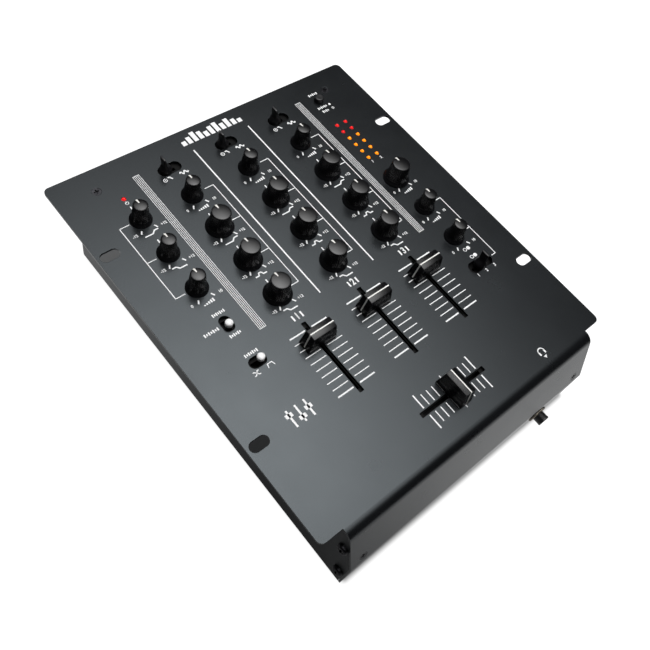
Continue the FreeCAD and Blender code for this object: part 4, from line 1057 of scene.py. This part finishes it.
def rca_rings():
    """Coloured insulator and rolled metal lip in the mouth of every pin socket."""
    for mount in frame["record"]["mounts"]:
        name = mount["name"]
        if not name.startswith("rca_"):
            continue
        colour = "white_ring" if name.endswith("upper") else "red_ring"
        tip = mount["dims"]["length_mm"] / 2
        rim = mount["dims"]["r_mm"] - 0.02
        bm = lathe([(1.75, tip - 4.0), (1.75, tip - 0.55), (1.95, tip - 0.35), (3.2, tip - 0.35),
                    (3.42, tip - 0.5), (3.42, tip - 4.0)], 48, closed=True)
        lathe([(3.52, tip - 0.9), (3.52, tip - 0.15), (3.66, tip - 0.02), (3.95, tip - 0.02),
               (rim, tip - 0.2), (rim, tip - 0.9)], 48, bm=bm, closed=True, material=1)
        upright_to_y(bm, 1)
        piece(name + "_ring", mesh_from(name, bm, 35), ROOT, [colour, "rca"], mount_place(mount))


def ground_nuts():
    """Two earth posts: threaded stud, plain collar inside and knurled thumb nut outside."""
    low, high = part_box("ground_posts")
    c = centre("ground_posts")
    reach = (high.y - c.y * MM) / MM
    nut_r = (high.x - low.x) / 2 / MM
    teeth = 28

    def knurl(angle, radius, z):
        return -0.2 * (0.5 + 0.5 * math.cos(teeth * angle)) if radius > nut_r - 0.3 else 0.0

    for name, z in (("upper", high.z / MM - nut_r), ("lower", low.z / MM + nut_r)):
        stud = [(1.6, -reach), (2.0, 0.4 - reach), (2.0, reach - 9.0)]
        nut = [(nut_r - 0.6, reach - 8.8), (nut_r - 0.05, reach - 8.3), (nut_r - 0.05, reach - 4.9),
               (nut_r - 0.6, reach - 4.3), (2.6, reach - 4.05), (2.0, reach - 4.0)]
        thread = threaded(2.0, reach - 3.8, reach - 0.4, 0.7, 0.2)
        bm = lathe(stud + nut + thread + [(1.7, reach)], teeth * 6, knurl)
        collar = [(2.05, reach - 12.3), (3.5, reach - 12.3), (3.5, reach - 10.5), (2.05, reach - 10.5)]
        lathe(collar, 32, bm=bm, closed=True)
        upright_to_y(bm, 1)
        piece("ground_post_" + name, mesh_from("ground_post_" + name, bm, 35), ROOT, ["post"],
              (c.x, c.y, z), node="ground_posts")


def power_pin():
    """Bright sleeve on the power inlet's centre pin."""
    mount = next(m for m in frame["record"]["mounts"] if m["name"] == "power_inlet")
    half = mount["dims"]["length_mm"] / 2
    r = mount["dims"]["r_mm"] + 0.06
    profile = [(r, -half), (r, half - 0.6), (r - 0.1, half - 0.25), (r - 0.4, half), (0.1, half + 0.05)]
    bm = lathe(profile, 32)
    upright_to_y(bm, 1)
    piece("power_inlet_pin", mesh_from("power_inlet_pin", bm, 35), ROOT, ["post"], mount_place(mount))


ROCKER_FACE = (6.85, 3.55)     # middle of each flat face, out from the pivot and up or down
ROCKER_SLOPE = 11.9            # degrees each face leans in towards the valley


def rocker_marks():
    """Moulded on and off strokes on the rocker's two faces, drawn in a bmesh of their own."""
    global print_bm
    joint = JOINTS["power_rocker_tilt"]
    for name, up in (("on", 1), ("off", -1)):
        print_bm = bmesh.new()
        if up > 0:
            rect(0, 0, 0.55, 3.0)
        else:
            ring(0, 0, 1.3, THIN)
        lay = Matrix.Rotation(middle_tilt(joint), 4, "X")
        lay = lay @ Matrix.Translation((0, ROCKER_FACE[0], up * ROCKER_FACE[1]))
        lay = lay @ Matrix.Rotation(math.radians(-90 - up * ROCKER_SLOPE), 4, "X")
        bmesh.ops.transform(print_bm, matrix=lay, verts=print_bm.verts)
        mesh = mesh_from("rocker_mark_" + name, print_bm)
        piece("rocker_mark_" + name, mesh, body_of("power_rocker"), ["ink"],
              Vector(joint["pos_m"]) / MM)


def paint_cad_nodes():
    """Every CAD node that stays in view takes its slot's material."""
    slots = {s["node"]: s["material_slot"] for s in frame["record"]["subparts"]}
    for node, obj in frame["nodes"].items():
        if obj.hide_render:
            continue
        obj.data.materials.clear()
        obj.data.materials.append(MATERIALS[slots[node]])


# ------------------------ stage
FLOOR_GLOW = 1.00          # the floor is a softly lit table
CONTACT_GLOW = 0.03        # its brightness right against the case
CONTACT_REACH = 0.006      # metres over which that shade fades
MIRRORED = (0.11, 0.78)    # the table's brightness in reflections: in the painted shade beside the front left corner, and elsewhere
# middle of the painted shade on the mirrored table, beside the case's front left; it darkens the left wall's
# reflection towards the front
PAINTED_SHADE_SPOT = (-0.19, -0.12)
FLOOR_R = 1.6
KEY_PLACE = (0.24, 0.20, 1.15)
KEY_SIZE = (2.1, 2.84)
KEY_RADIANCE = 9.2         # at the middle of the overhead light
ROOM_GLOW = 0.01           # brightness of the room in reflections


def distance_ramp(m, place, near, far, low, high):
    """Smooth change from low to high with distance from a place on the floor."""
    here = m.add("ShaderNodeNewGeometry").outputs["Position"]
    apart = m.calc("DISTANCE", here, (*place, FLOOR_Z), VECTOR)
    return m.level(apart, low, high, near, far, "SMOOTHSTEP")


def mirrored_glow(m):
    """Floor brightness as the case reflects it: painted shade by the near left corner, and dim far away."""
    by_corner = distance_ramp(m, PAINTED_SHADE_SPOT, 0.06, 0.26, *MIRRORED)
    return m.calc("MULTIPLY", by_corner, distance_ramp(m, (0.0, 0.0), 0.3, 0.6, 1.0, 0.1))


def contact_shade(m):
    """Floor brightness that falls off beside the case, on every side but the left."""
    low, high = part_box("chassis_tray")
    low.x += CONTACT_REACH
    middle = (low + high) / 2
    half = (high - low) / 2
    value = m.add("ShaderNodeNewGeometry").outputs["Position"]
    for operation, operand in (("SUBTRACT", (middle.x, middle.y, FLOOR_Z)), ("ABSOLUTE", None),
                               ("SUBTRACT", (half.x, half.y, 1.0)), ("MAXIMUM", (0.0, 0.0, 0.0))):
        value = m.calc(operation, value, operand, VECTOR)
    beyond = m.calc("LENGTH", value, None, VECTOR)
    return m.level(beyond, CONTACT_GLOW, FLOOR_GLOW, 0.0, CONTACT_REACH, "SMOOTHSTEP")


def floor_glow(m):
    """The contact shade for the camera, and the dimmer glow for everything that mirrors the floor."""
    seen = m.add("ShaderNodeLightPath").outputs["Is Camera Ray"]
    return m.add("ShaderNodeMix", Factor=seen, A=mirrored_glow(m), B=contact_shade(m)).outputs["Result"]


def floor():
    """Round pale table, a hair below the feet."""
    bm = bmesh.new()
    bmesh.ops.create_circle(bm, cap_ends=True, radius=FLOOR_R / MM, segments=96)
    mesh = mesh_from("floor", bm)
    obj = new_object("floor", mesh)
    obj.location = (0.0, 0.0, FLOOR_Z - 0.0002)
    m = new_material("floor_paper")
    m.set(Base_Color=m.ramp(m.noise(3.0, 2.0), (0.14, 0.14, 0.14), (0.16, 0.16, 0.16)), Roughness=0.9)
    m.set(Emission_Color=(1.0, 1.0, 1.0), Emission_Strength=floor_glow(m))
    mesh.materials.append(m.material)


def overhead_light():
    """Wide soft panel above the console, brightest over its middle and fading to its edges."""
    data = bpy.data.lights.new("overhead", "AREA")
    data.shape = "RECTANGLE"
    data.size, data.size_y = KEY_SIZE
    data.energy = KEY_RADIANCE * math.pi * KEY_SIZE[0] * KEY_SIZE[1]
    m = Nodes(data)
    place = m.add("ShaderNodeNewGeometry").outputs["Parametric"]
    spread = m.add("ShaderNodeMapping", Vector=place, Location=(-1.0, -1.0, 0.0), Scale=(2.0, 2.0, 0.0))
    fade = m.add("ShaderNodeTexGradient", gradient_type="QUADRATIC_SPHERE", Vector=spread.outputs["Vector"])
    m.fill(m.tree.nodes["Emission"], Strength=fade.outputs["Color"])
    obj = new_object("overhead", data)
    obj.location = KEY_PLACE
    obj.visible_camera = False


def backdrop():
    """Dim room for reflections, plain white where the camera looks past the floor."""
    world = bpy.data.worlds.new("studio")
    m = Nodes(world)
    room = m.fill(m.tree.nodes["Background"], Color=(1, 1, 1), Strength=ROOM_GLOW)
    white = m.add("ShaderNodeBackground", Color=(1, 1, 1), Strength=1.0)
    seen = m.add("ShaderNodeLightPath").outputs["Is Camera Ray"]
    blend = m.add("ShaderNodeMixShader", Fac=seen)
    m.link(room.outputs["Background"], blend.inputs[1])
    m.link(white.outputs["Background"], blend.inputs[2])
    m.fill(m.tree.nodes["World Output"], Surface=blend.outputs["Shader"])
    bpy.context.scene.world = world


CAMERA_AIM = (-0.0367, -0.0378, 0.0)       # metres, on the faceplate
CAMERA_DISTANCE = 0.4662
CAMERA_AZIMUTH = 31.818                    # degrees, direction of view in plan from +X
CAMERA_DIP = 57.613                        # degrees below the horizon
CAMERA_ROLL = 21.12
CAMERA_LENS = 41.21


def camera():
    data = bpy.data.cameras.new("camera")
    data.lens = CAMERA_LENS
    data.sensor_width = 36.0
    data.clip_start = 0.01
    obj = new_object("camera", data)
    azimuth = math.radians(CAMERA_AZIMUTH)
    dip = math.radians(CAMERA_DIP)
    look = Vector((math.cos(dip) * math.cos(azimuth), math.cos(dip) * math.sin(azimuth), -math.sin(dip)))
    obj.location = Vector(CAMERA_AIM) - look * CAMERA_DISTANCE
    turn = look.to_track_quat("-Z", "Y") @ Quaternion((0, 0, 1), math.radians(CAMERA_ROLL))
    obj.rotation_euler = turn.to_euler()
    bpy.context.scene.camera = obj


def size_report():
    """Brings the view layer up to date."""
    bpy.context.view_layer.update()


bpy.context.scene.view_settings.view_transform = "Standard"
bpy.context.scene.view_settings.look = "None"
panel_print()
knobs()
fader_caps()
toggles()
slide_tips()
meter_button()
led_lenses()
jacks()
jack_nuts()
rca_rings()
ground_nuts()
power_pin()
rocker_marks()
paint_cad_nodes()
floor()
backdrop()
overhead_light()
camera()
size_report()
